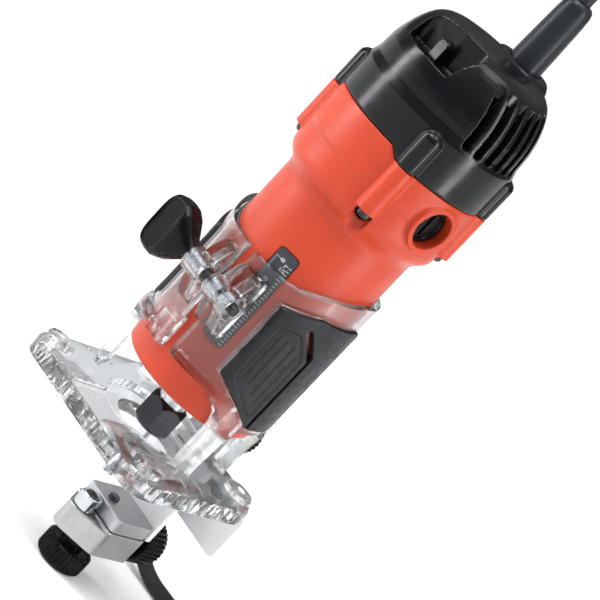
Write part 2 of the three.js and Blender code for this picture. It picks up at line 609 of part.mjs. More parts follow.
// ---------- brushes, one set on each side ----------
function brushSpring() {
  const turns = 4;
  const [start, end] = [24.6, 31.2];
  const points = [];
  for (let i = 0; i <= turns * 8; i += 1) {
    const angle = (Math.PI * i) / 4;
    points.push(new THREE.Vector3(start + 0.4 + ((end - start - 0.8) * i) / (turns * 8),
      2.4 * Math.cos(angle), BRUSH_HEIGHT + 2.4 * Math.sin(angle)));
  }
  const wire = new THREE.Shape(
    [[0.35, 0], [0, 0.35], [-0.35, 0], [0, -0.35]].map(([u, v]) => new THREE.Vector2(u, v)));
  const path = new THREE.CatmullRomCurve3(points);
  return solidOf(new THREE.ExtrudeGeometry(wire, { steps: turns * 8, extrudePath: path }));
}

function brushHolder() {
  return cut(block(16, 31.2, -5, 5, BRUSH_HEIGHT - 5.6, BRUSH_HEIGHT + 5.6),
    block(15, 32, -3.8, 3.8, BRUSH_HEIGHT - 4.4, BRUSH_HEIGHT + 4.4));
}

function brushCap() {
  const disc = rod(8.3, 31.8, 35, 24, 'x', 0, BRUSH_HEIGHT);
  return cut(disc, block(33.8, 36, -0.8, 0.8, BRUSH_HEIGHT - 5, BRUSH_HEIGHT + 5));
}

const carbonBrush = block(12.4, 24.2, -3.5, 3.5, BRUSH_HEIGHT - 4.1, BRUSH_HEIGHT + 4.1);
for (const [side, placed] of [['right', (solid) => solid], ['left', mirrorX]]) {
  add(motorUnit, `brush_cap_${side}`, placed(brushCap()), MATERIALS.black);
  add(motorUnit, `brush_holder_${side}`, placed(brushHolder()), MATERIALS.brass);
  add(motorUnit, `carbon_brush_${side}`, placed(carbonBrush), MATERIALS.graphite);
  add(motorUnit, `brush_spring_${side}`, placed(brushSpring()), MATERIALS.steel);
}

// ---------- field, bearings ----------
function fieldCore() {
  const core = ring(18.7, 29.3, 70, 114, 32);
  return cut(core, block(-26, 26, -6, 6, 60, 120).intersect(rod(25.5, 60, 120, 24)));
}

function bearingBracket() {
  const arms = block(-5, 5, -34.8, 34.8, 166, 171.5);
  return cut(join(ring(11.15, 14, 164.2, 172.8, 24), arms), rod(11.15, 160, 180, 24));
}

add(motorUnit, 'field_core', fieldCore(), MATERIALS.steel);
add(motorUnit, 'field_coil_upper', ring(19.6, 27, 114.3, 122, 24), MATERIALS.copper);
add(motorUnit, 'field_coil_lower', ring(19.6, 27, 62.4, 69.7, 24), MATERIALS.copper);
add(motorUnit, 'lower_bearing', ring(ON_SHAFT, 12.95, 35.1, 43.1, 24), MATERIALS.steel);
add(motorUnit, 'bearing_retainer', ring(7, 12.9, 43.4, 45.2, 24), MATERIALS.darkSteel);
add(motorUnit, 'upper_bearing', ring(4.05, 10.95, 165.2, 172.2, 24), MATERIALS.steel);
add(motorUnit, 'bearing_bracket', bearingBracket(), MATERIALS.black);

// ---------- spindle, armature, chuck and bit ----------
function spindle() {
  const shaft = turned([
    [0, 13.5], [6.8, 13.5], [6.8, 33.6], [SHAFT_RADIUS, 33.8], [SHAFT_RADIUS, 163], [4, 163.3], [4, 173.6],
    [0, 173.6],
  ], 20);
  return cut(shaft, rod(5.15, 10, 32.3, 20));
}

function armature() {
  let core = ring(ON_SHAFT, 18.1, 71, 113, 24);
  const slot = block(15, 20, -0.8, 0.8, 60, 125);
  for (let i = 0; i < 8; i += 1) core = cut(core, spun(slot, 45 * i));
  const windings = turned([[ON_SHAFT, 63.5], [12, 63.5], [15, 67], [15, 118], [11, 124], [ON_SHAFT, 124]], 20);
  return join(core, windings);
}

function fan() {
  let wheel = join(ring(ON_SHAFT, 9, 49.5, 60, 16), ring(ON_SHAFT, 26.5, 49.5, 51.2, 24));
  const blade = block(8.5, 26, -0.7, 0.7, 50, 59.5);
  for (let i = 0; i < 9; i += 1) wheel = join(wheel, spun(blade, 40 * i));
  return wheel;
}

function colletNut() {
  const across = 17 / Math.sqrt(3);
  const hex = spun(rod(across, 6.9, 21.2, 6), 12);
  const rounding = turned([[0, 6.9], [7.6, 6.9], [9.9, 9.6], [9.9, 18.6], [8.3, 21.2], [0, 21.2]], 24);
  return cut(hex.intersect(rounding), rod(7.1, 8, 30, 20), rod(3.6, 0, 10, 16));
}

function routerBit() {
  const blank = turned([[0, -20.6], [2.7, -20.6], [2.7, -4], [3, -2.8], [3, 29], [0, 29]], 20);
  const flute = block(0.5, 5, -5, -0.2, -30, -4.5);
  return cut(blank, flute, spun(flute, 180));
}

const collet = turned([[3.1, 8.3], [6.3, 8.3], [6.3, 11], [5, 13.1], [4.95, 31], [3.1, 31]], 20);
add(motorUnit, 'spindle', spindle(), MATERIALS.steel);
add(motorUnit, 'armature', armature(), MATERIALS.copper);
add(motorUnit, 'commutator', ring(ON_SHAFT, 12, 147, 161, 20), MATERIALS.copper);
add(motorUnit, 'cooling_fan', fan(), MATERIALS.insulator);
add(motorUnit, 'collet', collet, MATERIALS.steel);
add(motorUnit, 'collet_nut', colletNut(), MATERIALS.darkSteel);
add(motorUnit, 'router_bit', routerBit(), MATERIALS.steel);

// ---------- mains cord ----------
// Route of the loose stretch: out of the guard, over and down behind the tool, along the surface,
// and into the coil; then the tail on top of the coil. The points are chosen by hand.
const CORD_Z = FLOOR + CORD_RADIUS;
const CORD_ROUTE = [
  [2.5, 15.1, 256.3], [2.5, 15.1, 264], [2, 15.9, 276], [-1.8, 21.8, 290], [-9.2, 33.4, 300], [-17.5, 46.4, 301],
  [-25, 58.1, 293], [-29.6, 65.3, 279], [-31.4, 68.1, 262], [-32, 69, 240], [-31, 69, 200], [-27, 69, 150],
  [-22, 69.5, 100], [-18.5, 70, 50], [-17, 70, 5], [-16.5, 70, -20], [-14.5, 70, -40], [-8, 70.4, -55],
  [4, 71.2, -62], [18, 72.4, CORD_Z], [34, 74, CORD_Z], [54, 76, CORD_Z], [74, 78, CORD_Z], [92, 79.8, CORD_Z],
];
const TAIL_Z = FLOOR + COIL.height + GAP + CORD_RADIUS; // lying on the coil
const TAIL_ROUTE = [
  [122.5, 63.2, TAIL_Z], [136.8, 53.6, TAIL_Z], [145.3, 39.5, TAIL_Z], [148, 24, TAIL_Z], [148, 20, TAIL_Z],
];

function cordTube(route, steps) {
  const path = new THREE.CatmullRomCurve3(route.map(([x, y, z]) => new THREE.Vector3(x, y, z)));
  const section = new THREE.Shape(
    [...Array(8).keys()].map((i) => new THREE.Vector2(CORD_RADIUS * Math.cos((Math.PI * i) / 4),
      CORD_RADIUS * Math.sin((Math.PI * i) / 4))));
  return solidOf(new THREE.ExtrudeGeometry(section, { steps, extrudePath: path }));
}

// The plug is built along +X from the cord's end, then turned in line with the cord. It lies on the
// coil, its axis a little above the cord's.
const PLUG = { x: 148, y: 20, heading: 270 };
const placedPlug = (solid) => spun(solid, PLUG.heading).translate([PLUG.x, PLUG.y, TAIL_Z + 3.7]);

function plugBody() {
  const side = [[0.6, -4.4], [18, -5.6], [20, -7], [44, -7], [44, 7], [20, 7], [18, 5.6], [0.6, 4.4]];
  const plan = [[0, -5], [18, -7], [24, -13], [44, -13], [44, 13], [24, 13], [18, 7], [0, 5]];
  return placedPlug(prism(side, 'y', -30, 30).intersect(prism(plan, 'z', -20, 20)));
}

add(router, 'cord_run', cordTube(CORD_ROUTE, 40), MATERIALS.rubber);
add(router, 'cord_coil', ring(COIL.inner, COIL.outer, FLOOR, FLOOR + COIL.height, 32, 'z', COIL.x, COIL.y),
  MATERIALS.rubber);
add(router, 'cord_tail', cordTube(TAIL_ROUTE, 10), MATERIALS.rubber);
add(router, 'plug_body', plugBody(), MATERIALS.black);
for (const [name, side] of [['plug_pin_a', -9.5], ['plug_pin_b', 9.5]]) {
  add(router, name, placedPlug(rod(2.4, 44.3, 62, 12, 'x', side, 0)), MATERIALS.steel);
}

export default router;
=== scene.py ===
# Looks of the trim router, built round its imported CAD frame. Sizes are in millimetres in the
# helpers and are scaled to metres when a mesh is made.
import math

import bmesh
import bpy
from mathutils import Matrix, Vector


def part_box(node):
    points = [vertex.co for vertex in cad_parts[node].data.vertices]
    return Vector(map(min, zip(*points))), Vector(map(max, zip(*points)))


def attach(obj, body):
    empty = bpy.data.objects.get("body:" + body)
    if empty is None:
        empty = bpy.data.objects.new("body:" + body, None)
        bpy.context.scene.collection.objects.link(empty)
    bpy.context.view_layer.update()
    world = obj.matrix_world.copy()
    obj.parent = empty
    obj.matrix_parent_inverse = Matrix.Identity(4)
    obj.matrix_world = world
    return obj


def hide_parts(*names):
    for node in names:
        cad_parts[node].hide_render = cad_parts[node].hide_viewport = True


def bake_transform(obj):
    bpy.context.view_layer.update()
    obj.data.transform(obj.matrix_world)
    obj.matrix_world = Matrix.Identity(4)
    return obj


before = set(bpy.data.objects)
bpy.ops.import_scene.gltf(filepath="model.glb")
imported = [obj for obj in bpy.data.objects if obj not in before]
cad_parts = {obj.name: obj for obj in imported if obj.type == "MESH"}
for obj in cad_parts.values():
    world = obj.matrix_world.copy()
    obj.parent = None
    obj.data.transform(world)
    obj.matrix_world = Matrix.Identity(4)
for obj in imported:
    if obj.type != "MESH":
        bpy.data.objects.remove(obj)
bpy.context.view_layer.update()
MM = 0.001

# ---------- driving sizes, the same as the CAD model's ----------
MOTOR_TURN = math.radians(-9.5)
BARREL = 32.5
HEAD = 38.4
SHOULDER = 131
JOINT_FRONT = 171
JOINT_SIDE = 167.4
BOSS_CENTRE = 36.8
BOSS_RADIUS = 5.1
BOSS_ANGLES = (49, 131, 229, 311)
BOSS_BOTTOM = 144.3
BOSS_TOP = 186.6
BRUSH_Z = 154.2
BORE = 32.75
SLEEVE = 35.7
DECK = 10
CLAMP_Y = -42
CLAMP_Z = 80.6
PAD_INNER = 34.3
PAD_OUTER = 36.95
KNOB = 11.35
SCALE_ANGLE = 32.8  # degrees round the barrel from the front
GUARD_Y = 15.3
GUIDE_AXIS = (1, 20.5)  # x and z of the guide knob, its screw and its insert
ADJUST_AXIS = (8, -43.5)  # x and z of the adjusting knob and its screw
SLIDE_AXIS = (5.5, 10)  # x and y of the slide knob and its screw
ROLLER_AXIS = (5.3, -2.9)  # x and y of the guide roller
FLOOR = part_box("slide_knob")[0].z / MM
CORD_RADIUS = 3.5
CORD_Z = FLOOR + CORD_RADIUS

# ---------- camera ----------
# A long lens, looking down a little from the front right, rolled so that the tool leans.
AZIMUTH = math.radians(32.69)
ELEVATION = math.radians(14.43)
ROLL = math.radians(43.40)
DISTANCE = 1119.77
TARGET = Vector((8.10, 5.19, 90.55))


def make_camera():
    back = Vector((
        math.sin(AZIMUTH) * math.cos(ELEVATION),
        -math.cos(AZIMUTH) * math.cos(ELEVATION),
        math.sin(ELEVATION),
    ))
    data = bpy.data.cameras.new("camera")
    data.sensor_width = 36
    data.lens = 164.5
    data.clip_start = 0.05
    data.clip_end = 60
    camera = bpy.data.objects.new("camera", data)
    bpy.context.scene.collection.objects.link(camera)
    camera.location = (TARGET + back * DISTANCE) * MM
    upright = (-back).to_track_quat("-Z", "Y").to_matrix().to_4x4()
    rolled = upright @ Matrix.Rotation(ROLL, 4, "Z")
    camera.rotation_mode = "QUATERNION"
    camera.rotation_quaternion = rolled.to_quaternion()
    bpy.context.scene.camera = camera


make_camera()


# ---------- mesh helpers ----------
def link(mesh, name):
    obj = bpy.data.objects.new(name, mesh)
    bpy.context.scene.collection.objects.link(obj)
    return obj


def solid(name, points, faces):
    """A closed mesh object with its faces pointing out; points are in millimetres."""
    mesh = bpy.data.meshes.new(name)
    mesh.from_pydata([Vector(p) * MM for p in points], [], faces)
    work = bmesh.new()
    work.from_mesh(mesh)
    bmesh.ops.remove_doubles(work, verts=work.verts, dist=1e-7)
    bmesh.ops.recalc_face_normals(work, faces=work.faces)
    work.to_mesh(mesh)
    work.free()
    return link(mesh, name)


def along(axis, point, a=0, b=0):
    """Turns a point built along +Z so that it runs along the axis through a and b."""
    x, y, z = point
    if axis == "x":
        return (z, x + a, y + b)
    if axis == "y":
        return (x + a, z, -y + b)
    return (x + a, y + b, z)


def turned(profile, sides=96, axis="z", a=0, b=0, name="turned"):
    """A solid of revolution from [radius, height] pairs that start and end on the axis, or close."""
    points = []
    faces = []
    rings = []
    for radius, height in profile:
        if radius == 0:
            points.append(along(axis, (0, 0, height), a, b))
            rings.append([len(points) - 1] * sides)
            continue
        ring = []
        for i in range(sides):
            angle = 2 * math.pi * i / sides
            spot = (radius * math.cos(angle), radius * math.sin(angle), height)
            points.append(along(axis, spot, a, b))
            ring.append(len(points) - 1)
        rings.append(ring)
    if profile[0][0] > 0:
        rings.append(rings[0])
    for low, high in zip(rings, rings[1:]):
        for i in range(sides):
            j = (i + 1) % sides
            corners = []
            for corner in (low[i], low[j], high[j], high[i]):
                if corner not in corners:
                    corners.append(corner)
            if len(corners) > 2:
                faces.append(corners)
    return solid(name, points, faces)


def rod(radius, start, end, sides=48, axis="z", a=0, b=0):
    return turned([(0, start), (radius, start), (radius, end), (0, end)], sides, axis, a, b)


def ring(inner, outer, start, end, sides=96, axis="z", a=0, b=0):
    return turned([(inner, start), (outer, start), (outer, end), (inner, end)], sides, axis, a, b)


def prism(outline, axis, start, end, name="prism"):
    """An outline pushed along an axis: along x it is in y and z, along y in x and z, along z in x and y."""
    places = {
        "x": lambda u, v, w: (w, u, v),
        "y": lambda u, v, w: (u, w, v),
        "z": lambda u, v, w: (u, v, w),
    }
    spot = places[axis]
    count = len(outline)
    points = [spot(u, v, start) for u, v in outline] + [spot(u, v, end) for u, v in outline]
    faces = [list(range(count)), list(range(count, 2 * count))]
    for i in range(count):
        j = (i + 1) % count
        faces.append([i, j, j + count, i + count])
    return solid(name, points, faces)


def block(x0, x1, y0, y1, z0, z1):
    return prism([(x0, y0), (x1, y0), (x1, y1), (x0, y1)], "z", z0, z1)


def rounded(outline, radius, steps=6):
    """The outline with each corner replaced by an arc."""
    result = []
    count = len(outline)
    for i, corner in enumerate(outline):
        here = Vector(corner)
        before = Vector(outline[i - 1]) - here
        after = Vector(outline[(i + 1) % count]) - here
        reach = min(radius, before.length * 0.45, after.length * 0.45)
        one = here + before.normalized() * reach
        two = here + after.normalized() * reach
        for step in range(steps + 1):
            t = step / steps
            result.append(tuple(one * (1 - t) ** 2 + here * 2 * t * (1 - t) + two * t ** 2))
    return result


def rectangle(x0, x1, y0, y1, radius):
    return rounded([(x0, y0), (x1, y0), (x1, y1), (x0, y1)], radius * 1.25, 8)


def combine(target, operation, *tools):
    """Applies boolean steps to target and removes the tools."""
    for tool in tools:
        step = target.modifiers.new("step", "BOOLEAN")
        step.solver = "MANIFOLD"
        step.operation = operation
        step.object = tool
        bake(target)
        bpy.data.objects.remove(tool)
    return target


def bake(obj):
    """Replaces obj's mesh with the result of its modifiers."""
    bpy.context.view_layer.update()
    graph = bpy.context.evaluated_depsgraph_get()
    mesh = bpy.data.meshes.new_from_object(obj.evaluated_get(graph))
    obj.modifiers.clear()
    obj.data = mesh


def cut(target, *tools):
    return combine(target, "DIFFERENCE", *tools)


def join(target, *tools):
    return combine(target, "UNION", *tools)


def common(target, *tools):
    return combine(target, "INTERSECT", *tools)


def copied(obj, matrix=None):
    twin = link(obj.data.copy(), obj.name)
    if matrix is not None:
        twin.data.transform(matrix)
        if matrix.determinant() < 0:
            twin.data.flip_normals()
    return twin


def mirrored(obj):
    return copied(obj, Matrix.Scale(-1, 4, Vector((1, 0, 0))))


def spun(obj, degrees):
    obj.data.transform(Matrix.Rotation(math.radians(degrees), 4, "Z"))
    return obj


def moulded(obj, voxel=0.5, passes=4, keep=1.0):
    """Gives a solid the small rounded edges of a moulding or casting."""
    remesh = obj.modifiers.new("remesh", "REMESH")
    remesh.mode = "VOXEL"
    remesh.voxel_size = voxel * MM
    remesh.adaptivity = 0
    soften = obj.modifiers.new("soften", "SMOOTH")
    soften.factor = 0.5
    soften.iterations = passes
    if keep < 1:
        thin = obj.modifiers.new("thin", "DECIMATE")
        thin.ratio = keep
    bake(obj)
    shade(obj, None)
    return obj


def shade(obj, angle=30):
    """Smooth shading, with edges sharper than the angle kept crisp."""
    work = bmesh.new()
    work.from_mesh(obj.data)
    for face in work.faces:
        face.smooth = True
    if angle is not None:
        for edge in work.edges:
            if len(edge.link_faces) == 2:
                edge.smooth = edge.calc_face_angle(0) < math.radians(angle)
    work.to_mesh(obj.data)
    work.free()
    return obj


def place(obj, name, body, finish, slot_name, *nodes, motor=False):
    """Names a finished piece, gives it its material, and fixes it to its body."""
    if motor:
        obj.data.transform(Matrix.Rotation(MOTOR_TURN, 4, "Z"))
    obj.name = name
    obj.data.name = name
    obj.data.materials.clear()
    obj.data.materials.append(finish)
    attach(obj, body)
    if nodes:
        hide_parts(*nodes)
    return obj


# ---------- materials ----------
class Finish:
    """A Principled material with object-space texture coordinates."""

    def __init__(self, name, color, roughness, metallic=0.0, **sockets):
        self.material = bpy.data.materials.new(name)
        self.material.use_nodes = True
        self.nodes = self.material.node_tree.nodes
        self.links = self.material.node_tree.links
        self.shader = self.nodes["Principled BSDF"]
        self.color = color
        self.coordinates = self.nodes.new("ShaderNodeTexCoord")
        self.shader.inputs["Base Color"].default_value = (*color, 1)
        self.shader.inputs["Roughness"].default_value = roughness
        self.shader.inputs["Metallic"].default_value = metallic
        self.height = None
        for key, value in sockets.items():
            self.shader.inputs[key.replace("_", " ")].default_value = value

    def noise(self, scale, detail=3, stretch=(1, 1, 1)):
        mapping = self.nodes.new("ShaderNodeMapping")
        mapping.inputs["Scale"].default_value = stretch
        texture = self.nodes.new("ShaderNodeTexNoise")
        texture.inputs["Scale"].default_value = scale
        texture.inputs["Detail"].default_value = detail
        self.links.new(self.coordinates.outputs["Object"], mapping.inputs["Vector"])
        self.links.new(mapping.outputs["Vector"], texture.inputs["Vector"])
        return texture.outputs["Fac"]

    def spread(self, source, low, high, start=0.35, end=0.65):
        remap = self.nodes.new("ShaderNodeMapRange")
        remap.inputs["From Min"].default_value = start
        remap.inputs["From Max"].default_value = end
        remap.inputs["To Min"].default_value = low
        remap.inputs["To Max"].default_value = high
        self.links.new(source, remap.inputs["Value"])
        return remap.outputs["Result"]

    def tint(self, source, change):
        """Colour that drifts between darker and lighter than the base."""
        ramp = self.nodes.new("ShaderNodeValToRGB")
        ramp.color_ramp.elements[0].position = 0.35
        ramp.color_ramp.elements[1].position = 0.65
        for element, gain in zip(ramp.color_ramp.elements, (1 - change, 1 + change)):
            element.color = (*(min(1, part * gain) for part in self.color), 1)
        self.links.new(source, ramp.inputs["Fac"])
        self.links.new(ramp.outputs["Color"], self.shader.inputs["Base Color"])

    def gloss(self, source, low, high):
        self.links.new(self.spread(source, low, high), self.shader.inputs["Roughness"])

    def relief(self, source, strength, distance=0.05):
        bump = self.nodes.new("ShaderNodeBump")
        bump.inputs["Strength"].default_value = strength
        bump.inputs["Distance"].default_value = distance * MM
        self.links.new(source, bump.inputs["Height"])
        if self.height is not None:
            self.links.new(self.height, bump.inputs["Normal"])
        self.height = bump.outputs["Normal"]
        self.links.new(self.height, self.shader.inputs["Normal"])


def moulded_plastic(name, color, roughness, grain=0.25, shine=0.5):
    """Spark-eroded moulded plastic: fine grain, and faint handling marks in its gloss."""
    finish = Finish(name, color, roughness, Specular_IOR_Level=shine)
    finish.tint(finish.noise(45, 4), 0.05)
    finish.gloss(finish.noise(120, 5), roughness - 0.05, roughness + 0.06)
    finish.relief(finish.noise(2600, 2), grain, 0.03)
    return finish.material


def rubber(name, color, roughness):
    finish = Finish(name, color, roughness, Specular_IOR_Level=0.3)
    finish.tint(finish.noise(60, 5), 0.12)
    finish.gloss(finish.noise(300, 4), roughness - 0.08, min(1, roughness + 0.08))
    finish.relief(finish.noise(1800, 3), 0.4, 0.05)
    return finish.material


def clear_plastic():
    """Polycarbonate: clear face on, its base colour painted dark where it slants away as painted shade for
    its dark refracted edges, with slightly rounded edges.
    """
    finish = Finish("clear_plastic", (0.92, 0.94, 0.95), 0.0, Transmission_Weight=1.0, IOR=1.5)
    slant = finish.nodes.new("ShaderNodeLayerWeight")
    slant.inputs["Blend"].default_value = 0.35
    # Painted shade: base colour runs from light face on to dark grey where the surface slants away, standing
    # in for dark refraction at the edges.
    painted_edge_shade = finish.nodes.new("ShaderNodeValToRGB")
    thin, thick = painted_edge_shade.color_ramp.elements
    thin.position = 0.12
    thin.color = (0.84, 0.865, 0.88, 1)
    thick.position = 0.75
    thick.color = (0.16, 0.18, 0.20, 1)
    finish.links.new(slant.outputs["Facing"], painted_edge_shade.inputs["Fac"])
    finish.links.new(painted_edge_shade.outputs["Color"], finish.shader.inputs["Base Color"])
    finish.links.new(finish.spread(slant.outputs["Facing"], 0.55, 1, 0.05, 0.55),
                     finish.shader.inputs["Alpha"])
    finish.gloss(finish.noise(500, 5, (1, 1, 0.15)), 0.0, 0.025)
    edges = finish.nodes.new("ShaderNodeBevel")
    edges.samples = 4
    edges.inputs["Radius"].default_value = 0.25 * MM
    finish.links.new(edges.outputs["Normal"], finish.shader.inputs["Normal"])
    return finish.material


def metal(name, color, roughness, grain, brushed=(1, 1, 1), change=0.06):
    finish = Finish(name, color, roughness, metallic=1.0)
    finish.tint(finish.noise(70, 4), change)
    finish.gloss(finish.noise(400, 4, brushed), roughness - 0.06, roughness + 0.08)
    finish.relief(finish.noise(1500, 3, brushed), grain, 0.04)
    return finish.material


def painted_sheet():
    finish = Finish("white_plate", (0.70, 0.715, 0.73), 0.30, metallic=0.15)
    finish.tint(finish.noise(40, 4), 0.03)
    finish.relief(finish.noise(900, 3), 0.12, 0.05)
    return finish.material


ORANGE = moulded_plastic("orange_plastic", (0.44, 0.039, 0.012), 0.40, 0.12, 0.3)
BLACK = moulded_plastic("black_plastic", (0.004, 0.0045, 0.0055), 0.22, 0.3, 0.24)
KNOB_BLACK = moulded_plastic("knob_plastic", (0.003, 0.003, 0.0035), 0.24, 0.2, 0.15)
GUARD = moulded_plastic("guard_plastic", (0.013, 0.016, 0.020), 0.36, 0.2, 0.2)
FAN = moulded_plastic("fan_plastic", (0.15, 0.15, 0.15), 0.5)
PAD = rubber("grip_rubber", (0.005, 0.006, 0.008), 0.50)
SHEATH = rubber("cord_rubber", (0.012, 0.012, 0.014), 0.6)
CLEAR = clear_plastic()
CAST = metal("cast_aluminium", (0.40, 0.41, 0.42), 0.42, 0.6, change=0.05)
ZINC = metal("bright_steel", (0.50, 0.52, 0.545), 0.17, 0.06, (1, 1, 8))
OXIDE = metal("dark_steel", (0.045, 0.046, 0.050), 0.34, 0.15)
STEEL = metal("plain_steel", (0.27, 0.28, 0.30), 0.26, 0.15, (8, 1, 1))
BRASS = metal("brass", (0.76, 0.55, 0.24), 0.28, 0.1)
COPPER = metal("copper", (0.68, 0.30, 0.15), 0.38, 0.5, (1, 1, 12))
SHEET = painted_sheet()
CARBON = rubber("carbon", (0.03, 0.03, 0.03), 0.8)
SCALE = moulded_plastic("scale_plate", (0.030, 0.034, 0.040), 0.40, 0.2, 0.3)
INK = moulded_plastic("scale_ink", (0.62, 0.64, 0.66), 0.5, 0.05)

# ---------- cord ----------
GUARD_EXIT = (2.5, 15.1, 256.3)
# The loose stretch: a half circle over the top, down behind the tool, a quarter
# circle at the floor, then along it.
CORD_ROUTE = [
    GUARD_EXIT, (2.4, 15.2, 270), (0.3, 18.6, 285.3), (-5.9, 28.3, 296.7), (-14.2, 41.5, 300.9),
    (-22.6, 54.8, 296.7), (-28.7, 64.4, 285.3), (-31, 68, 269.5), (-32, 69, 240), (-31, 69, 200),
    (-27, 69, 150),
    (-22, 69.5, 100), (-18.5, 70, 50), (-17, 70, 5), (-17, 70, -32.4), (-14.6, 70.1, -44.3),
    (-7.9, 70.4, -54.3),
    (2.1, 71.1, -61), (14, 72, CORD_Z), (34, 74, CORD_Z), (54, 76, CORD_Z), (74, 78, CORD_Z),
    (92, 79.4, CORD_Z),
    (110, 78, CORD_Z), (127, 73.5, CORD_Z),
]
TAIL_Z = CORD_Z + 14.9  # the last turn and the plug lie on the coil
TAIL_ROUTE = [(148, 20.4, TAIL_Z)]
COIL = Vector((112, 24))
COIL_OUTER = 51.4
COIL_INNER = 29.35
COIL_START = 57  # degrees; the turns run clockwise seen from above
COIL_TURNS = 3  # winding in, on the floor
TOP_TURNS = 2.158  # winding out on top of them, then in again as a third layer
TOP_LIFT = 7.05
STEPS_PER_TURN = 36


def on_coil(radius, turns, height):
    angle = math.radians(COIL_START - 360 * turns)
    return (COIL.x + radius * math.cos(angle), COIL.y + radius * math.sin(angle), height)


def eased(share):
    share = min(1, max(0, share))
    return 3 * share ** 2 - 2 * share ** 3


def coil_points():
    """Turns winding in on the floor, then out on top of them, then a part turn on top of those."""
    points = []
    for i in range(COIL_TURNS * STEPS_PER_TURN + 1):
        turns = i / STEPS_PER_TURN
        radius = COIL_OUTER + (COIL_INNER - COIL_OUTER) * turns / COIL_TURNS
        points.append(on_coil(radius, turns, CORD_Z))
    for i in range(1, round(TOP_TURNS * STEPS_PER_TURN) + 1):
        turns = i / round(TOP_TURNS * STEPS_PER_TURN) * TOP_TURNS
        spiral = min(max(turns - 0.15, 0), 0.9) * 7.9 + max(min(turns, 1.85) - 1.05, 0) * 7.1
        inward = 6.1 * eased((turns - 1.85) / 0.308)
        height = CORD_Z + TOP_LIFT * math.sin(math.pi / 2 * min(1, turns / 0.3))
        height += (TAIL_Z - CORD_Z - TOP_LIFT) * eased((turns - 1.6) / 0.25)
        points.append(on_coil(COIL_INNER + spiral - inward, COIL_TURNS + turns, height))
    return points


def smooth_path(route, steps=3):
    """A Catmull-Rom curve through the points."""
    points = [Vector(p) for p in route]
    padded = [points[0] * 2 - points[1], *points, points[-1] * 2 - points[-2]]
    result = []
    for a, b, c, d in zip(padded, padded[1:], padded[2:], padded[3:]):
        for i in range(steps):
            t = i / steps
            bend = (2 * a - 5 * b + 4 * c - d) * t ** 2 + (3 * b - a - 3 * c + d) * t ** 3
            result.append(0.5 * (2 * b + (c - a) * t + bend))
    return result + [points[-1]]


def tube_along(path, radius, sides, name):
    """A round tube with closed ends, its section carried along the path without twisting."""
    points = []
    faces = []
    across = Vector((1, 0, 0))
    for i, spot in enumerate(path):
        heading = (path[min(i + 1, len(path) - 1)] - path[max(i - 1, 0)]).normalized()
        across = (across - heading * across.dot(heading)).normalized()
        side = heading.cross(across)
        for j in range(sides):
            angle = 2 * math.pi * j / sides
            points.append(spot + radius * (across * math.cos(angle) + side * math.sin(angle)))
    for i in range(len(path) - 1):
        for j in range(sides):
            k = (j + 1) % sides
            faces.append([i * sides + j, i * sides + k, (i + 1) * sides + k, (i + 1) * sides + j])
    faces += [list(range(sides)), list(range(len(points) - sides, len(points)))]
    return solid(name, points, faces)


def make_cord():
    loose = smooth_path(CORD_ROUTE, 6)
    wound = smooth_path([CORD_ROUTE[-2], CORD_ROUTE[-1], *coil_points(), *TAIL_ROUTE], 2)
    path = [Vector((p.x, p.y, max(p.z, CORD_Z))) for p in loose + wound[3:]]
    cord = tube_along(path, CORD_RADIUS - 0.02, 16, "mains_cord")
    shade(cord, 60)
    cord.data.materials.append(SHEATH)
    return cord, [p * MM for p in path]


PLUG = (148, 20)
PLUG_HEADING = 270
PLUG_RISE = 3.7  # its axis above the cord where it lies on the coil


def to_plug(obj):
    obj.data.transform(Matrix.Rotation(math.radians(PLUG_HEADING), 4, "Z"))
    obj.data.transform(Matrix.Translation(Vector((*PLUG, TAIL_Z + PLUG_RISE)) * MM))
    return obj


def make_plug():
    side = rounded([(0.8, -4.2), (18, -5.4), (20, -6.9), (43.8, -6.9), (43.8, 6.9), (20, 6.9), (18, 5.4),
                    (0.8, 4.2)], 2)
    plan = rounded([(0.8, -4.8), (18, -6.9), (24, -12.8), (43.8, -12.8), (43.8, 12.8), (24, 12.8), (18, 6.9),
                    (0.8, 4.8)], 3)
    body = common(prism(side, "y", -30, 30), prism(plan, "z", -20, 20))
    for start in (3, 6, 9, 12, 15):
        body = cut(body, cut(block(start, start + 1.2, -15, 15, -15, 15), rod(3.7, 0, 20, 32, "x")))
    body = moulded(body, 0.35, 3, 0.5)
    plug = place(to_plug(body), "plug", "base", KNOB_BLACK, "cord_rubber", "plug_body")
    pins = []
    for name, side_y in (("plug_pin_a", -9.5), ("plug_pin_b", 9.5)):
        tip = turned([(0, 44.3), (2.4, 44.3), (2.4, 59.6), (1.9, 61.4), (0, 62)], 32, "x", side_y)
        shade(to_plug(tip))
        pins.append(place(tip, name + "_turned", "base", BRASS, "brass", name))
    return plug, pins


cord, cord_path = make_cord()
plug, plug_pins = make_plug()
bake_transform(cord)
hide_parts("cord_run", "cord_coil", "cord_tail")


# ---------- motor unit ----------
def joint_line(lift):
    return [(-60, JOINT_SIDE + lift), (-24.5, JOINT_SIDE + lift), (-21, JOINT_FRONT + lift),
            (21, JOINT_FRONT + lift), (24.5, JOINT_SIDE + lift), (60, JOINT_SIDE + lift)]


def pillars(radius, start, end, domed=False):
    profile = [(0, start), (radius, start), (radius, end), (0, end)]
    if domed:
        profile = [(0, start), (radius, start), (radius, end - 4)]
        profile += [(radius * math.cos(a), end - 4 + 4 * math.sin(a)) for a in (0.3, 0.6, 0.9, 1.2)]
        profile += [(0, end)]
    return [spun(turned(profile, 48, "z", 0, -BOSS_CENTRE), angle) for angle in BOSS_ANGLES]


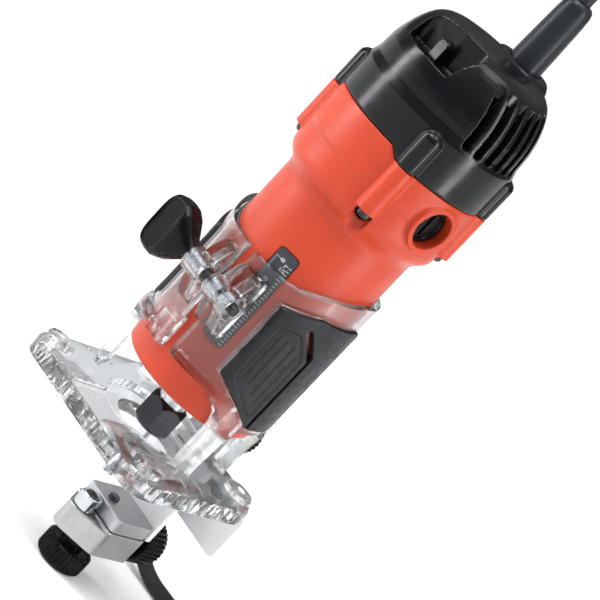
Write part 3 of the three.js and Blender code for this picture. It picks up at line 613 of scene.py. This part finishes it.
def make_housing():
    shell = turned([
        (8.2, 32), (31, 32), (32.1, 32.8), (BARREL, 34), (BARREL, SHOULDER), (32.7, 132.4), (33.4, 134),
        (35, 135.8),
        (36.7, 137.6), (37.6, 139.4), (38.05, 141.8), (38.1, 152.3), (HEAD, 152.6), (HEAD, 175), (35.4, 175),
        (35.4, 143), (29.6, 136), (29.6, 38), (16.5, 38), (16.5, 45.5), (13.15, 45.5), (13.15, 34.8),
        (8.2, 34.8),
    ], 160)
    shell = join(shell, rod(11, 30, 39.5, 64, "x", 0, BRUSH_Z), rod(11, -39.5, -30, 64, "x", 0, BRUSH_Z))
    shell = join(shell, *pillars(BOSS_RADIUS, BOSS_BOTTOM, 175))
    shell = cut(shell, rod(8.6, 31.5, 60, 64, "x", 0, BRUSH_Z), rod(8.6, -60, -31.5, 64, "x", 0, BRUSH_Z))
    shell = cut(shell, rod(7.8, -32, 32, 48, "x", 0, BRUSH_Z))
    shell = cut(shell, prism([*joint_line(-0.15), (60, 230), (-60, 230)], "y", -60, 60))
    shell = cut(shell, *pillars(1.8, 120, 190), *pillars(3.9, 125, BOSS_BOTTOM))
    for i in range(6):
        shell = cut(shell, spun(block(18, 28, -2.6, 2.6, 31, 39), 60 * i))
    seat = cut(ring(31.4, 40, 61.2, 110.2, 160), block(-50, 50, -20, 50, 50, 120))
    outline = rectangle(-5.3, 5.3, 61.2, 110.2, 2)
    shell = cut(shell, spun(common(seat, prism(outline, "y", -50, 0)), SCALE_ANGLE))
    return moulded(shell, 0.5, 4)


def cap_profile():
    return [
        (0, 160), (HEAD, 160), (HEAD, 186.6), (38.2, 187.2), (37.5, 189.6), (37.25, 190.4), (37.1, 194),
        (36.7, 198.5),
        (36.1, 201.5), (35.4, 204.4), (34.5, 207.2), (33.3, 210.2), (32, 212.9), (30.6, 215.1), (28.9, 217),
        (26.6, 218.6), (23.5, 219.8), (19, 220.6), (10, 220.95), (0, 221),
    ]


SWITCH_POCKET = [(-9.8, -45), (16, -45), (16.6, -31), (18, -23.5), (17, -20), (13.5, -18.7), (4, -23.3),
                 (-12.6, -26),
                 (-14, -28), (-12.2, -31.5)]
POCKET_FLOOR = 203.8
LEVER = Vector((3, -28))


def make_cap():
    outside = turned(cap_profile(), 160)
    inside = turned([(0, 150), (35.4, 150), (35.4, 186), (33.6, 200), (30.2, 210), (24, 215.8), (0, 217.8)],
                    96)
    lining = cut(block(15, 60, -18, 20.5, 185.5, 217), rod(30.5, 150, 230, 96))
    pocket_wall = prism(rounded([(-12, -44), (18.5, -44), (20.5, -22), (14, -15.5), (3, -20.5),
                                 (-14.5, -23.5),
                                 (-16.5, -28)], 2), "z", POCKET_FLOOR - 2.4, 219)
    lining = join(common(lining, copied(outside)), common(pocket_wall, copied(outside)))
    left = common(cut(block(-60, -15, -18, 20.5, 185.5, 217), rod(30.5, 150, 230, 96)), copied(outside))
    collar = turned([(0, 214), (16.5, 214), (14.2, 219.6), (12.9, 221.6), (11.9, 222.3), (0, 222.3)], 96, "z",
                    0, GUARD_Y)
    collar = cut(collar, rod(40, 200, 216.2, 48))
    body = cut(outside, inside)
    body = join(body, lining, left, collar, *pillars(BOSS_RADIUS, 160, BOSS_TOP, True))
    body = cut(body, prism([(-60, 140), (60, 140), *reversed(joint_line(0.15))], "y", -60, 60))
    body = cut(body, prism(rounded(SWITCH_POCKET, 2.2), "z", POCKET_FLOOR, 240))
    body = cut(body, block(LEVER.x - 3.7, LEVER.x + 3.7, -33.2, -24.9, 190, 210))
    for side in (1, -1):
        for i in range(6):
            y = -14.3 + 6.2 * i
            slot = prism(rounded([(y - 1.75, 188), (y + 1.75, 188), (y + 1.75, 216.5), (y - 1.75, 216.5)],
                                 0.6),
                         "x", 8 * side, 60 * side)
            body = cut(body, cut(slot, rod(30.2, 150, 230, 96)))
    body = cut(body, rod(8, 205, 240, 64, "z", 0, GUARD_Y), *pillars(1.8, 150, 181))
    return moulded(body, 0.42, 3)


def make_guard():
    profile = [(0, 210.2), (9.4, 210.2), (9.4, 213.2), (7.75, 213.6), (7.7, 224), (7.5, 232), (7.25, 240),
               (7.0, 248),
               (6.6, 253), (5.9, 255), (4.8, 256), (0, 256)]
    guard = turned(profile, 96, "z", 0, GUARD_Y)
    return shade(guard)


def make_lever():
    side = [(-2.5, 196.6), (2.5, 196.6)] + [
        (2.5 * math.cos(a), 211.4 + 2.5 * math.sin(a)) for a in (math.pi * i / 12 for i in range(13))]
    front = [(-2.8, 190), (2.8, 190)] + [
        (2.8 * math.cos(a), 211.1 + 2.8 * math.sin(a)) for a in (math.pi * i / 12 for i in range(13))]
    one = prism([(y + LEVER.y, z) for y, z in side], "x", LEVER.x - 2.8, LEVER.x + 2.8)
    two = prism([(x + LEVER.x, z) for x, z in front], "y", -40, -10)
    return moulded(common(one, two), 0.25, 3)


def brush_cap(side):
    start, end = (31.8, 35) if side > 0 else (-35, -31.8)
    face = end if side > 0 else start
    inner = start if side > 0 else end
    profile = [(0, inner), (8.3, inner), (8.3, face - 0.6 * side), (7.8, face), (6.6, face),
               (6.2, face - 0.5 * side),
               (0, face - 0.5 * side)]
    disc = turned(profile, 64, "x", 0, BRUSH_Z)
    return shade(cut(disc, block(min(face - 1.5 * side, face + side), max(face - 1.5 * side, face + side),
                                 -0.85, 0.85, BRUSH_Z - 5.2, BRUSH_Z + 5.2)))


def cap_screw(angle):
    head = turned([(0, 141.6), (2.5, 141.6), (3.15, 142.4), (3.2, 144), (1.5, 144), (1.5, 179), (0, 179)], 32,
                  "z",
                  0, -BOSS_CENTRE)
    cross = join(block(-1.7, 1.7, -BOSS_CENTRE - 0.35, -BOSS_CENTRE + 0.35, 141, 142.6),
                 block(-0.35, 0.35, -BOSS_CENTRE - 1.7, -BOSS_CENTRE + 1.7, 141, 142.6))
    return shade(spun(cut(head, cross), angle))


place(make_housing(), "housing_moulding", "motor_unit", ORANGE, "orange_plastic", "motor_housing", motor=True)
place(make_cap(), "cap_moulding", "motor_unit", BLACK, "black_plastic", "top_cap", motor=True)
place(make_guard(), "guard_moulding", "motor_unit", GUARD, "grip_rubber", "cord_guard", motor=True)
place(make_lever(), "lever_moulding", "switch", KNOB_BLACK, "black_plastic", "switch_lever", motor=True)
for side_name, side_sign in (("right", 1), ("left", -1)):
    place(brush_cap(side_sign), "brush_cap_" + side_name + "_turned", "motor_unit", KNOB_BLACK,
          "black_plastic",
          "brush_cap_" + side_name, motor=True)
# The cap screws take the dark steel finish rather than bright steel: painted shade for the shadowed notch
# under the bosses where they sit.
for screw_name, screw_angle in (("front_right", 49), ("back_right", 131), ("back_left", 229),
                                ("front_left", 311)):
    place(cap_screw(screw_angle), "cap_screw_" + screw_name + "_turned", "motor_unit", OXIDE, "bright_steel",
          "cap_screw_" + screw_name, motor=True)

# ---------- depth scale ----------
SCALE_FACE = 32.42


def wrap_on_barrel(obj, radius):
    """Bends a flat drawing in x and z, thick along y, round the motor's barrel."""
    for vertex in obj.data.vertices:
        x, y, z = vertex.co / MM
        angle = x / radius + math.radians(SCALE_ANGLE)
        vertex.co = Vector(((radius + y) * math.sin(angle), -(radius + y) * math.cos(angle), z)) * MM
    return obj


def scale_tick(x0, x1, z, width):
    return [(x0, z - width / 2), (x1, z - width / 2), (x1, z + width / 2), (x0, z + width / 2)]


def make_marks():
    points = []
    faces = []

    def raise_outline(outline):
        base = len(points)
        for y in (-0.05, 0.03):
            points.extend((x, y, z) for x, z in outline)
        faces.append([base, base + 1, base + 2, base + 3])
        faces.append([base + 4, base + 5, base + 6, base + 7])
        for i in range(4):
            j = (i + 1) % 4
            faces.append([base + i, base + j, base + j + 4, base + i + 4])

    millimetre = 1.02
    top = 105.7
    for i in range(43):
        long = 2.1 if i % 10 == 0 else 1.5 if i % 5 == 0 else 0.8
        raise_outline(scale_tick(-4.5, -4.5 + long, top - i * millimetre, 0.14))
    sixteenth = 1.59 * 1.02
    for i in range(27):
        long = 3.0 if i % 8 == 0 else 2.2 if i % 4 == 0 else 1.4
        raise_outline(scale_tick(4.5 - long, 4.5, top - 0.6 - i * sixteenth, 0.24))
    marks = solid("marks", points, faces)
    return wrap_on_barrel(marks, SCALE_FACE)


def make_numeral(text, x, z, size):
    """Raised figures on the scale."""
    font = bpy.data.curves.new("numeral", "FONT")
    font.body = text
    font.size = size * MM
    font.extrude = 0.04 * MM
    font.align_x = "CENTER"
    font.align_y = "CENTER"
    words = bpy.data.objects.new("numeral", font)
    bpy.context.scene.collection.objects.link(words)
    bpy.context.view_layer.update()
    mesh = bpy.data.meshes.new_from_object(words)
    bpy.data.objects.remove(words)
    flat = link(mesh, "numeral")
    for vertex in flat.data.vertices:
        u, v, w = vertex.co
        vertex.co = (u + x * MM, w - 0.01 * MM, v + z * MM)
    return wrap_on_barrel(flat, SCALE_FACE)


def make_scale():
    plate = cut(ring(31.75, SCALE_FACE, 61.6, 109.8, 200), block(-50, 50, -20, 50, 50, 120))
    plate = common(plate, prism(rectangle(-5, 5, 61.6, 109.8, 1.8), "y", -50, 0))
    return shade(spun(plate, SCALE_ANGLE))


place(make_scale(), "scale_plate_curved", "motor_unit", SCALE, "scale_plate", "depth_scale", motor=True)
place(make_marks(), "scale_marks", "motor_unit", INK, "scale_plate", motor=True)
for numeral, numeral_x, numeral_z in (("40", -1, 105.7), ("30", -1, 95.5), ("20", -1, 85.3), ("10", -1, 75.1),
                                      ("1", 1.4, 104.4), ("1/2", 1.6, 102.3), ("1", 1.6, 92),
                                      ("1/2", 1.6, 79)):
    place(make_numeral(numeral, numeral_x, numeral_z, 2.3),
          f"numeral_{round(numeral_z * 10)}_{numeral_x > 0}",
          "motor_unit", INK, "scale_plate", motor=True)


# ---------- clear base ----------
PAD_OUTLINE = [(-26, 55.3), (-4.6, 41.3), (16, 41.3), (26, 50), (26, 93), (14, 98.9), (-11.7, 98.2),
               (-26, 92.8)]
PAD_RECESS = [(-26.3, 55.1), (-4.7, 41), (16.2, 41), (26.3, 49.9), (26.3, 93.2), (14.1, 99.2), (-11.8, 98.5),
              (-26.3, 93)]
PAD_WINDOW = [(-1.9, 40), (-1.9, 81.4), (-12.4, 92.1), (-15.2, 91.2), (-3.6, 79.2), (-3.6, 40)]


def make_deck():
    layers = ((0, 0.6), (0.6, 0), (7, 0), (7.8, 0.35), (8.8, 1.2), (9.5, 2.2), (DECK, 3.2))
    outline = []
    points = []
    for height, inset in layers:
        outline = rectangle(-45.5 + inset, 45.5 - inset, -45 + inset, 38 - inset, 9 - inset)
        points += [(x, y, height) for x, y in outline]
    count = len(outline)
    faces = [list(range(count)), list(range(len(points) - count, len(points)))]
    for layer in range(len(layers) - 1):
        for i in range(count):
            j = (i + 1) % count
            faces.append([layer * count + i, layer * count + j, (layer + 1) * count + j,
                          (layer + 1) * count + i])
    return solid("deck", points, faces)


def make_sleeve():
    wall = ring(BORE, SLEEVE, 8, 110.7, 128)
    legs = turned([(BORE, 8), (37.2, 8), (37.4, 20), (38.8, 44.5), (38.6, 48), (37.6, 50), (SLEEVE, 50.8),
                   (BORE, 50.8)],
                  128)
    legs = cut(legs, block(-60, 60, -8, 26.5, 36, 60), block(-12, 8, -60, 0, 40, 60))
    sleeve = join(wall, legs)
    top_line = rounded([(-60, 130), (-60, 100.5), (-27, 100.5), (-15, 106.5), (6, 110.7), (6, 130)], 5)
    front_under = rounded([(-60, 9.5), (-15.4, 9.5), (-15.4, 36), (-18, 41), (-24, 45), (-30, 46.7),
                           (-60, 46.7)], 3.5)
    side_window = rounded([(-8.6, DECK), (27, DECK), (27, 32), (23, 38), (-4, 38), (-8.6, 34)], 3)
    rear_window = rounded([(-15.5, DECK), (15.5, DECK), (15.5, 41), (11, 46.7), (-11, 46.7), (-15.5, 41)], 3)
    return cut(
        sleeve,
        prism(top_line, "x", -60, 60),
        prism(front_under, "x", -60, 60),
        prism(side_window, "x", -60, 60),
        prism(rear_window, "y", 10, 60),
    )


def make_ear(x0, x1, web_x0, web_x1):
    web = rounded([(-33, 65), (-39.5, 65.5), (-43.8, 74), (-43.8, 87.5), (-39.5, 95), (-33, 95.5)], 2.5)
    ear = join(prism(web, "x", web_x0, web_x1), rod(6, x0, x1, 48, "x", CLAMP_Y, CLAMP_Z))
    pocket = rounded([(-38.8, 68), (-42.2, 74.3), (-42.2, 75), (-37, 75), (-37, 68)], 1)
    upper = rounded([(-37, 86), (-42.2, 86), (-42.2, 87), (-38.8, 93), (-37, 93)], 1)
    middle = (web_x0 + web_x1) / 2
    return cut(ear, prism(pocket, "x", middle + 0.6, web_x1 + 1), prism(upper, "x", middle + 0.6, web_x1 + 1))


def make_base():
    shell = join(make_deck(), make_sleeve(), make_ear(-12.2, -2.2, -9.2, -2.2), make_ear(3.3, 19.1, 5, 17.5))
    shell = join(shell, block(-9, 11, 33.2, 37.8, 9, 30), block(-11, -0.2, -36.3, -32, 44.6, 56))
    for x in (-36.5, 36.5):
        for y in (-36, 28.5):
            boss = turned([(0, 8), (7, 8), (7, 11.4), (6.4, 12.2), (5.4, 12.5), (0, 12.5)], 48, "z", x, y)
            shell = cut(join(shell, boss), rod(2.3, 3, 14, 24, "z", x, y))
    recess = cut(ring(PAD_INNER - 0.3, 60, 30, 110, 128), block(-20, 20, -60, 60, 20, 120))
    shell = cut(
        shell,
        common(recess, prism(PAD_RECESS, "x", -60, 60)),
        rod(BORE, DECK, 130, 128),
        rod(25, 6, 20, 96),
        rod(16.5, -1, 20, 72),
        block(-2.2, 3.3, -60, -20, 60, 130),
        block(-0.2, 5.1, -60, -20, 40, 64),
        prism(rectangle(-14, 10, -60, -20, 3), "z", 8.2, 14),
        rod(3.7, -20, 10, 32, "x", CLAMP_Y, CLAMP_Z),
        rod(2.8, 8, 30, 32, "x", CLAMP_Y, CLAMP_Z),
        rod(5.1, 13, 30, 32, "x", CLAMP_Y, CLAMP_Z),
        rod(4.5, 33.1, 60, 32, "y", *GUIDE_AXIS),
    )
    for y in (-14, -3):  # shallow steps moulded across the deck's right and left edges
        for x0, x1 in ((33, 60), (-60, -33)):
            shell = cut(shell, block(x0, x1, y, y + 0.9, 9.3, 12))
    for y in range(-36, 32, 6):  # shallow flutes down the deck's right and left edges
        for x0, x1 in ((44.7, 60), (-60, -44.7)):
            shell = cut(shell, block(x0, x1, y, y + 2.4, 1.4, 7.6))
    for x in range(-36, 34, 6):
        shell = cut(shell, block(x, x + 2.4, -60, -44.2, 1.4, 7.6))
    return shade(shell, 28)


def make_pad():
    band = cut(ring(PAD_INNER, PAD_OUTER, 30, 110, 160), block(-60, 20, -60, 60, 20, 120))
    pad = common(band, prism(rounded(PAD_OUTLINE, 1.5), "x", 0, 60))
    pad = cut(pad, prism(PAD_WINDOW, "x", 0, 60))
    panel = rounded([(-23.5, 57.5), (-6, 46), (-6, 78.5), (-15.5, 88.6), (-23.5, 86)], 2.5)
    skin = cut(ring(36.45, 40, 30, 110, 160), block(-60, 20, -60, 60, 20, 120))
    pad = cut(pad, common(copied(skin), prism(panel, "x", 0, 60)))
    skin.data.transform(Matrix.Diagonal((36.0 / 36.45, 36.0 / 36.45, 1, 1)))
    for y, low, high in ((-20.8, 60.5, 84), (-17.6, 58.4, 83), (-13.4, 55.6, 82), (-9.6, 53, 79)):
        groove = common(copied(skin), block(0, 60, y - 0.35, y + 0.35, low, high))
        pad = cut(pad, groove)
    bpy.data.objects.remove(skin)
    return moulded(pad, 0.3, 3)


pad_right = make_pad()
pad_left = mirrored(pad_right)
place(make_base(), "base_moulding", "base", CLEAR, "clear_plastic", "base_shell")
place(pad_right, "pad_right_moulding", "base", PAD, "grip_rubber", "grip_pad_right")
place(pad_left, "pad_left_moulding", "base", PAD, "grip_rubber", "grip_pad_left")


# ---------- base clamp ----------
def make_clamp_knob():
    sections = [(-13.5, 3.7, 3.7), (-15, 3.9, 4.1), (-17.5, 4.9, 5.8), (-21, 6.2, 9.0), (-24, 6.8, 11.7),
                (-27.5, 6.55, 13.7), (-31, 6.4, 13.9), (-34, 6.3, 13.5), (-36, 6.0, 12.7), (-37.5, 5.0, 11)]
    sides = 72
    points = []
    for row, (x, half_y, half_z) in enumerate(sections):
        power = 1 - 0.42 * min(1, row / 4)
        for i in range(sides):
            angle = 2 * math.pi * i / sides
            c, s = math.cos(angle), math.sin(angle)
            points.append((x, CLAMP_Y + half_y * math.copysign(abs(c) ** power, c),
                           CLAMP_Z + half_z * math.copysign(abs(s) ** power, s)))
    faces = [list(range(sides)), list(range(len(points) - sides, len(points)))]
    for row in range(len(sections) - 1):
        for i in range(sides):
            j = (i + 1) % sides
            faces.append([row * sides + i, row * sides + j, (row + 1) * sides + j, (row + 1) * sides + i])
    knob = solid("knob", points, faces)
    outline = rectangle(-36.2, -26.2, CLAMP_Z - 11.6, CLAMP_Z + 11.6, 3)
    knob = cut(knob, prism(outline, "y", CLAMP_Y - 12, CLAMP_Y - 4.4),
               prism(outline, "y", CLAMP_Y + 4.4, CLAMP_Y + 12))
    return moulded(cut(knob, rod(2.7, -24.3, -10, 32, "x", CLAMP_Y, CLAMP_Z)), 0.3, 4)


def threaded(radius, start, end, axis, a, b, pitch=0.8, depth=0.25, plain=()):
    """A screw whose thread is drawn as fine V grooves; plain lists smooth stretches."""
    profile = [(0, start), (radius - depth, start), (radius, start + 0.4)]
    height = start + 0.4
    while height + pitch < end - 0.4:
        if not any(low <= height <= high for low, high in plain):
            profile += [(radius, height + pitch * 0.2), (radius - depth, height + pitch * 0.5),
                        (radius, height + pitch * 0.8)]
        height += pitch
    profile += [(radius, end - 0.4), (radius - depth, end), (0, end)]
    return shade(turned(profile, 40, axis, a, b), 50)


def tube_piece(inner, outer, start, end, axis, a, b, bevel=0.25):
    profile = [(inner, start), (outer - bevel, start), (outer, start + bevel)]
    height = start + 1
    while height < end - 1:
        profile += [(outer, height), (outer - 0.14, height + 0.3), (outer, height + 0.6)]
        height += 1
    profile += [(outer, end - bevel), (outer - bevel, end), (inner, end)]
    return shade(turned(profile, 64, axis, a, b))


def make_clamp_nut():
    nut = rod(4.6, 13.3, 17.3, 6, "x", CLAMP_Y, CLAMP_Z)
    rounding = turned([(0, 13.3), (4, 13.3), (4.6, 13.9), (4.6, 16.7), (4, 17.3), (0, 17.3)], 48, "x",
                      CLAMP_Y, CLAMP_Z)
    return shade(cut(common(nut, rounding), rod(2.6, 13, 18, 32, "x", CLAMP_Y, CLAMP_Z)), 20)


place(make_clamp_knob(), "paddle_knob", "base_clamp", KNOB_BLACK, "black_plastic", "clamp_knob")
place(threaded(2.4, -24, 20.4, "x", CLAMP_Y, CLAMP_Z), "clamp_screw_threaded", "base_clamp", OXIDE,
      "dark_steel",
      "clamp_screw")
place(tube_piece(2.5, 3.1, -12.9, -2.6, "x", CLAMP_Y, CLAMP_Z), "clamp_sleeve_turned", "base", STEEL,
      "bright_steel",
      "clamp_sleeve")
place(tube_piece(2.5, 3.1, 3.5, 9.7, "x", CLAMP_Y, CLAMP_Z), "clamp_bush_turned", "base", STEEL,
      "bright_steel",
      "clamp_bush")
place(make_clamp_nut(), "clamp_nut_chamfered", "base", STEEL, "bright_steel", "clamp_nut")


# ---------- chuck, spindle and bit ----------
def make_collet_nut():
    nut = spun(rod(17 / math.sqrt(3), 6.9, 21.2, 6), 12)
    rounding = turned([(0, 6.9), (7.4, 6.9), (7.9, 7.1), (9.9, 9.4), (9.9, 18.7), (8.4, 20.9), (7.9, 21.2),
                       (0, 21.2)], 128)
    nut = cut(common(nut, rounding), rod(7.1, 8, 30, 64), rod(3.6, 0, 10, 48))
    return shade(nut, 20)


def make_bit():
    blank = turned([(0, -20.6), (2.5, -20.6), (2.7, -20.2), (2.7, -4), (3, -2.8), (3, 28.6), (2.7, 29),
                    (0, 29)], 48)
    flute = block(0.5, 5, -5, -0.2, -30, -4.5)
    return shade(cut(blank, copied(flute), spun(flute, 180)))


def make_spindle():
    shaft = turned([(0, 13.5), (6.4, 13.5), (6.8, 13.9), (6.8, 33.6), (5, 33.8), (5, 163), (4, 163.3),
                    (4, 173.6),
                    (0, 173.6)], 64)
    return shade(cut(shaft, rod(5.15, 10, 32.3, 48)))


place(make_collet_nut(), "collet_nut_chamfered", "collet_nut_body", OXIDE, "dark_steel", "collet_nut",
      motor=True)
place(make_bit(), "router_bit_turned", "rotor", ZINC, "bright_steel", "router_bit", motor=True)
place(make_spindle(), "spindle_turned", "rotor", ZINC, "bright_steel", "spindle", motor=True)


# ---------- guide ----------
def ribbed_knob(collar, length):
    """A knob with fine ribs, built along +Z from its mounting end, as rings of a wavy outline."""
    ribs = 32
    sides = ribs * 8
    rows = [(5.2, 0, 0), (5.5, 0.4, 0), (5.5, collar, 0), (KNOB - 1.6, collar, 0),
            (KNOB - 0.7, collar + 0.5, 0.3),
            (KNOB, collar + 1.3, 1), (KNOB, length - 1.9, 1), (KNOB - 0.5, length - 0.9, 0.5),
            (KNOB - 1.5, length - 0.2, 0), (KNOB - 2.2, length, 0), (KNOB - 4.2, length, 0),
            (KNOB - 4.8, length - 0.7, 0)]
    points = []
    for radius, height, depth in rows:
        for i in range(sides):
            wave = 0.5 - 0.5 * math.cos(2 * math.pi * ribs * i / sides)
            r = radius - 1.0 * depth * wave ** 0.6
            angle = 2 * math.pi * i / sides
            points.append((r * math.cos(angle), r * math.sin(angle), height))
    faces = [list(range(sides)), list(range(len(points) - sides, len(points)))]
    for row in range(len(rows) - 1):
        for i in range(sides):
            j = (i + 1) % sides
            faces.append([row * sides + i, row * sides + j, (row + 1) * sides + j, (row + 1) * sides + i])
    knob = solid("knob", points, faces)
    return cut(knob, rod(2.7, -1, length - 3, 40))


def knob_along_y(collar, length, x, y, z):
    knob = ribbed_knob(collar, length)
    knob.data.transform(Matrix.Rotation(math.radians(-90), 4, "X"))
    knob.data.transform(Matrix.Translation(Vector((x, y, z)) * MM))
    return shade(knob, 35)


def knob_hanging(collar, length, x, y, z):
    knob = ribbed_knob(collar, length)
    knob.data.transform(Matrix.Rotation(math.radians(180), 4, "X"))
    knob.data.transform(Matrix.Translation(Vector((x, y, z)) * MM))
    return shade(knob, 35)


def make_bracket():
    wing = prism(rectangle(-42.8, 42.8, -21, 2, 2.5), "y", 38.3, 40.3)
    tongue = prism(rectangle(-11, 13, -4, 30, 4), "y", 38.3, 40.3)
    arm = block(-5, 21, 27, 30, -36, -0.6)
    web = block(-5, 21, 27, 38.8, -3.6, -0.6)
    bracket = join(wing, tongue, arm, web)
    return moulded(cut(bracket, rod(2.7, 37, 42, 32, "y", *GUIDE_AXIS)), 0.35, 2)


def make_holder():
    slab = prism(rounded([(-5, 2.5), (21, 2.5), (21, 26.7), (-5, 26.7)], 3.2), "z", -36, -29.3)
    lug = block(5, 11, 17.5, 20.5, -47.5, -35)
    holder = cut(join(slab, lug), rod(2.5, -60, 0, 32, "z", *SLIDE_AXIS),
                 rod(2.5, 10, 26, 32, "y", *ADJUST_AXIS))
    return moulded(holder, 0.35, 5)


def make_slider():
    tip = [(-6.9, 4.5), (0.2, -6.6), (3.2, -8.6), (6.6, -8.6), (21.1, 2.5), (21.1, 27.8), (-6.9, 27.8)]
    body = prism(rounded(tip, 2.4), "z", -49.5, -36.3)
    body = cut(
        body,
        block(-10, 30, -20, 2.2, -37.5, -30),
        prism([(-20, -60), (-20, -45), (-6.9, -45), (-1.5, -49.6), (-1.5, -60)], "y", -10, 12),
        rod(2.8, -60, -30, 32, "z", *SLIDE_AXIS),
        rod(2.8, -60, -30, 32, "z", 5.5, 14),
        block(2.7, 8.3, 10, 14, -60, -30),
        block(4.7, 11.3, 15.5, 24.8, -47.9, -30),
        rod(2.5, 20.5, 29, 32, "y", *ADJUST_AXIS),
        rod(1.5, -43, -30, 24, "z", *ROLLER_AXIS),
    )
    return moulded(body, 0.35, 5)


def make_roller():
    profile = [(3.5, -37.2), (4.7, -37.2), (5, -36.9), (5, -30.7), (4.7, -30.3), (4.1, -30.3), (3.5, -30.7)]
    return shade(turned(profile, 96, "z", *ROLLER_AXIS))


def make_bearing():
    profile = [(1.55, -36.8), (3.4, -36.8), (3.4, -30.7), (3.0, -30.7), (2.9, -31), (2.2, -31), (2.1, -30.7),
               (1.55, -30.7)]
    return shade(turned(profile, 64, "z", *ROLLER_AXIS))


place(make_bracket(), "bracket_sheet", "base", SHEET, "white_plate", "guide_bracket")
place(make_holder(), "holder_casting", "base", CAST, "cast_aluminium", "guide_holder")
place(make_slider(), "slider_casting", "slider", CAST, "cast_aluminium", "guide_slider")
place(make_roller(), "roller_turned", "roller", ZINC, "bright_steel", "guide_roller")
place(make_bearing(), "bearing_turned", "roller", OXIDE, "bright_steel", "roller_bearing")
place(knob_along_y(3.4, 15.4, 1, 40.6, 20.5), "guide_knob_ribbed", "guide_clamp", KNOB_BLACK, "black_plastic",
      "guide_knob")
place(knob_along_y(8.5, 21.2, 8, 28.3, -43.5), "adjust_knob_ribbed", "adjuster", KNOB_BLACK, "black_plastic",
      "adjust_knob")
place(knob_hanging(6.4, -49.8 - FLOOR, 5.5, 10, -49.8), "slide_knob_ribbed", "slide_clamp", KNOB_BLACK,
      "black_plastic", "slide_knob")
place(threaded(2.4, -62, -27.5, "z", *SLIDE_AXIS), "slide_screw_threaded", "slide_clamp", OXIDE, "dark_steel",
      "slide_screw")
place(threaded(2.4, 17, 44.5, "y", *ADJUST_AXIS), "adjust_screw_threaded", "adjuster", ZINC, "bright_steel",
      "adjust_screw")
place(threaded(2.4, 33.6, 51, "y", *GUIDE_AXIS), "guide_screw_threaded", "guide_clamp", ZINC, "bright_steel",
      "guide_screw")
place(tube_piece(2.5, 4.2, 33.4, 37.6, "y", *GUIDE_AXIS), "guide_insert_turned", "base", BRASS, "brass",
      "guide_insert")

# ---------- carried-over CAD nodes ----------
CARRIED = {
    "roller_axle": OXIDE, "switch_body": BLACK, "brush_holder_right": BRASS, "brush_holder_left": BRASS,
    "carbon_brush_right": CARBON, "carbon_brush_left": CARBON, "brush_spring_right": ZINC,
    "brush_spring_left": ZINC,
    "field_core": ZINC, "field_coil_upper": COPPER, "field_coil_lower": COPPER, "lower_bearing": ZINC,
    "bearing_retainer": OXIDE, "upper_bearing": ZINC, "bearing_bracket": BLACK, "armature": COPPER,
    "commutator": COPPER, "cooling_fan": FAN, "collet": ZINC,
}
for node_name, node_finish in CARRIED.items():
    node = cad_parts[node_name]
    if not node.material_slots:
        node.data.materials.append(node_finish)
    for material_slot in node.material_slots:
        material_slot.material = node_finish


# ---------- floor and light ----------
def make_floor():
    size = 12
    mesh = bpy.data.meshes.new("floor")
    height = (FLOOR - 0.05) * MM
    mesh.from_pydata([(-size, -size, height), (size, -size, height), (size, size, height),
                      (-size, size, height)], [],
                     [(0, 1, 2, 3)])
    floor = link(mesh, "floor")
    finish = Finish("floor", (0.90, 0.90, 0.90), 0.9)
    finish.tint(finish.noise(2, 2), 0.004)
    floor.data.materials.append(finish.material)


def add_light(name, spot, aim, size, power):
    data = bpy.data.lights.new(name, "AREA")
    data.shape = "RECTANGLE"
    data.size, data.size_y = size
    data.energy = power
    light = bpy.data.objects.new(name, data)
    bpy.context.scene.collection.objects.link(light)
    light.location = spot
    light.rotation_mode = "QUATERNION"
    light.rotation_quaternion = (Vector(aim) - Vector(spot)).to_track_quat("-Z", "Y")


def add_sun(name, heading, height, softness, strength):
    """Even light from a compass heading and a height above the horizon, in degrees."""
    data = bpy.data.lights.new(name, "SUN")
    data.angle = math.radians(softness)
    data.energy = strength
    light = bpy.data.objects.new(name, data)
    bpy.context.scene.collection.objects.link(light)
    a, e = math.radians(heading), math.radians(height)
    toward = Vector((math.sin(a) * math.cos(e), -math.cos(a) * math.cos(e), math.sin(e)))
    light.rotation_mode = "QUATERNION"
    light.rotation_quaternion = (-toward).to_track_quat("-Z", "Y")


def make_sky():
    """Bright overhead and dim at the horizon, so that vertical gloss and clear edges keep contrast."""
    world = bpy.data.worlds.new("studio")
    world.use_nodes = True
    nodes, links = world.node_tree.nodes, world.node_tree.links
    where = nodes.new("ShaderNodeTexCoord")
    split = nodes.new("ShaderNodeSeparateXYZ")
    ramp = nodes.new("ShaderNodeValToRGB")
    ramp.color_ramp.elements[0].position = 0.02
    ramp.color_ramp.elements[0].color = (0.10, 0.10, 0.105, 1)
    ramp.color_ramp.elements[1].position = 0.75
    ramp.color_ramp.elements[1].color = (1, 1, 1, 1)
    middle = ramp.color_ramp.elements.new(0.35)
    middle.color = (0.26, 0.26, 0.265, 1)
    links.new(where.outputs["Generated"], split.inputs["Vector"])
    links.new(split.outputs["Z"], ramp.inputs["Fac"])
    links.new(ramp.outputs["Color"], nodes["Background"].inputs["Color"])
    nodes["Background"].inputs["Strength"].default_value = 0.6
    bpy.context.scene.world = world


def light_scene():
    make_sky()
    middle = (0, 0, 0.1)
    add_sun("key", -25, 58, 30, 2.7)
    add_light("left_strip", (-0.9, -0.7, 0.35), middle, (0.22, 1.0), 12)
    add_light("right_strip", (1.0, 0.15, 0.35), middle, (0.2, 1.0), 10)
    add_light("top", (0.25, -0.1, 1.1), middle, (0.5, 0.5), 4)
    bpy.context.scene.view_settings.view_transform = "Standard"


make_floor()
light_scene()
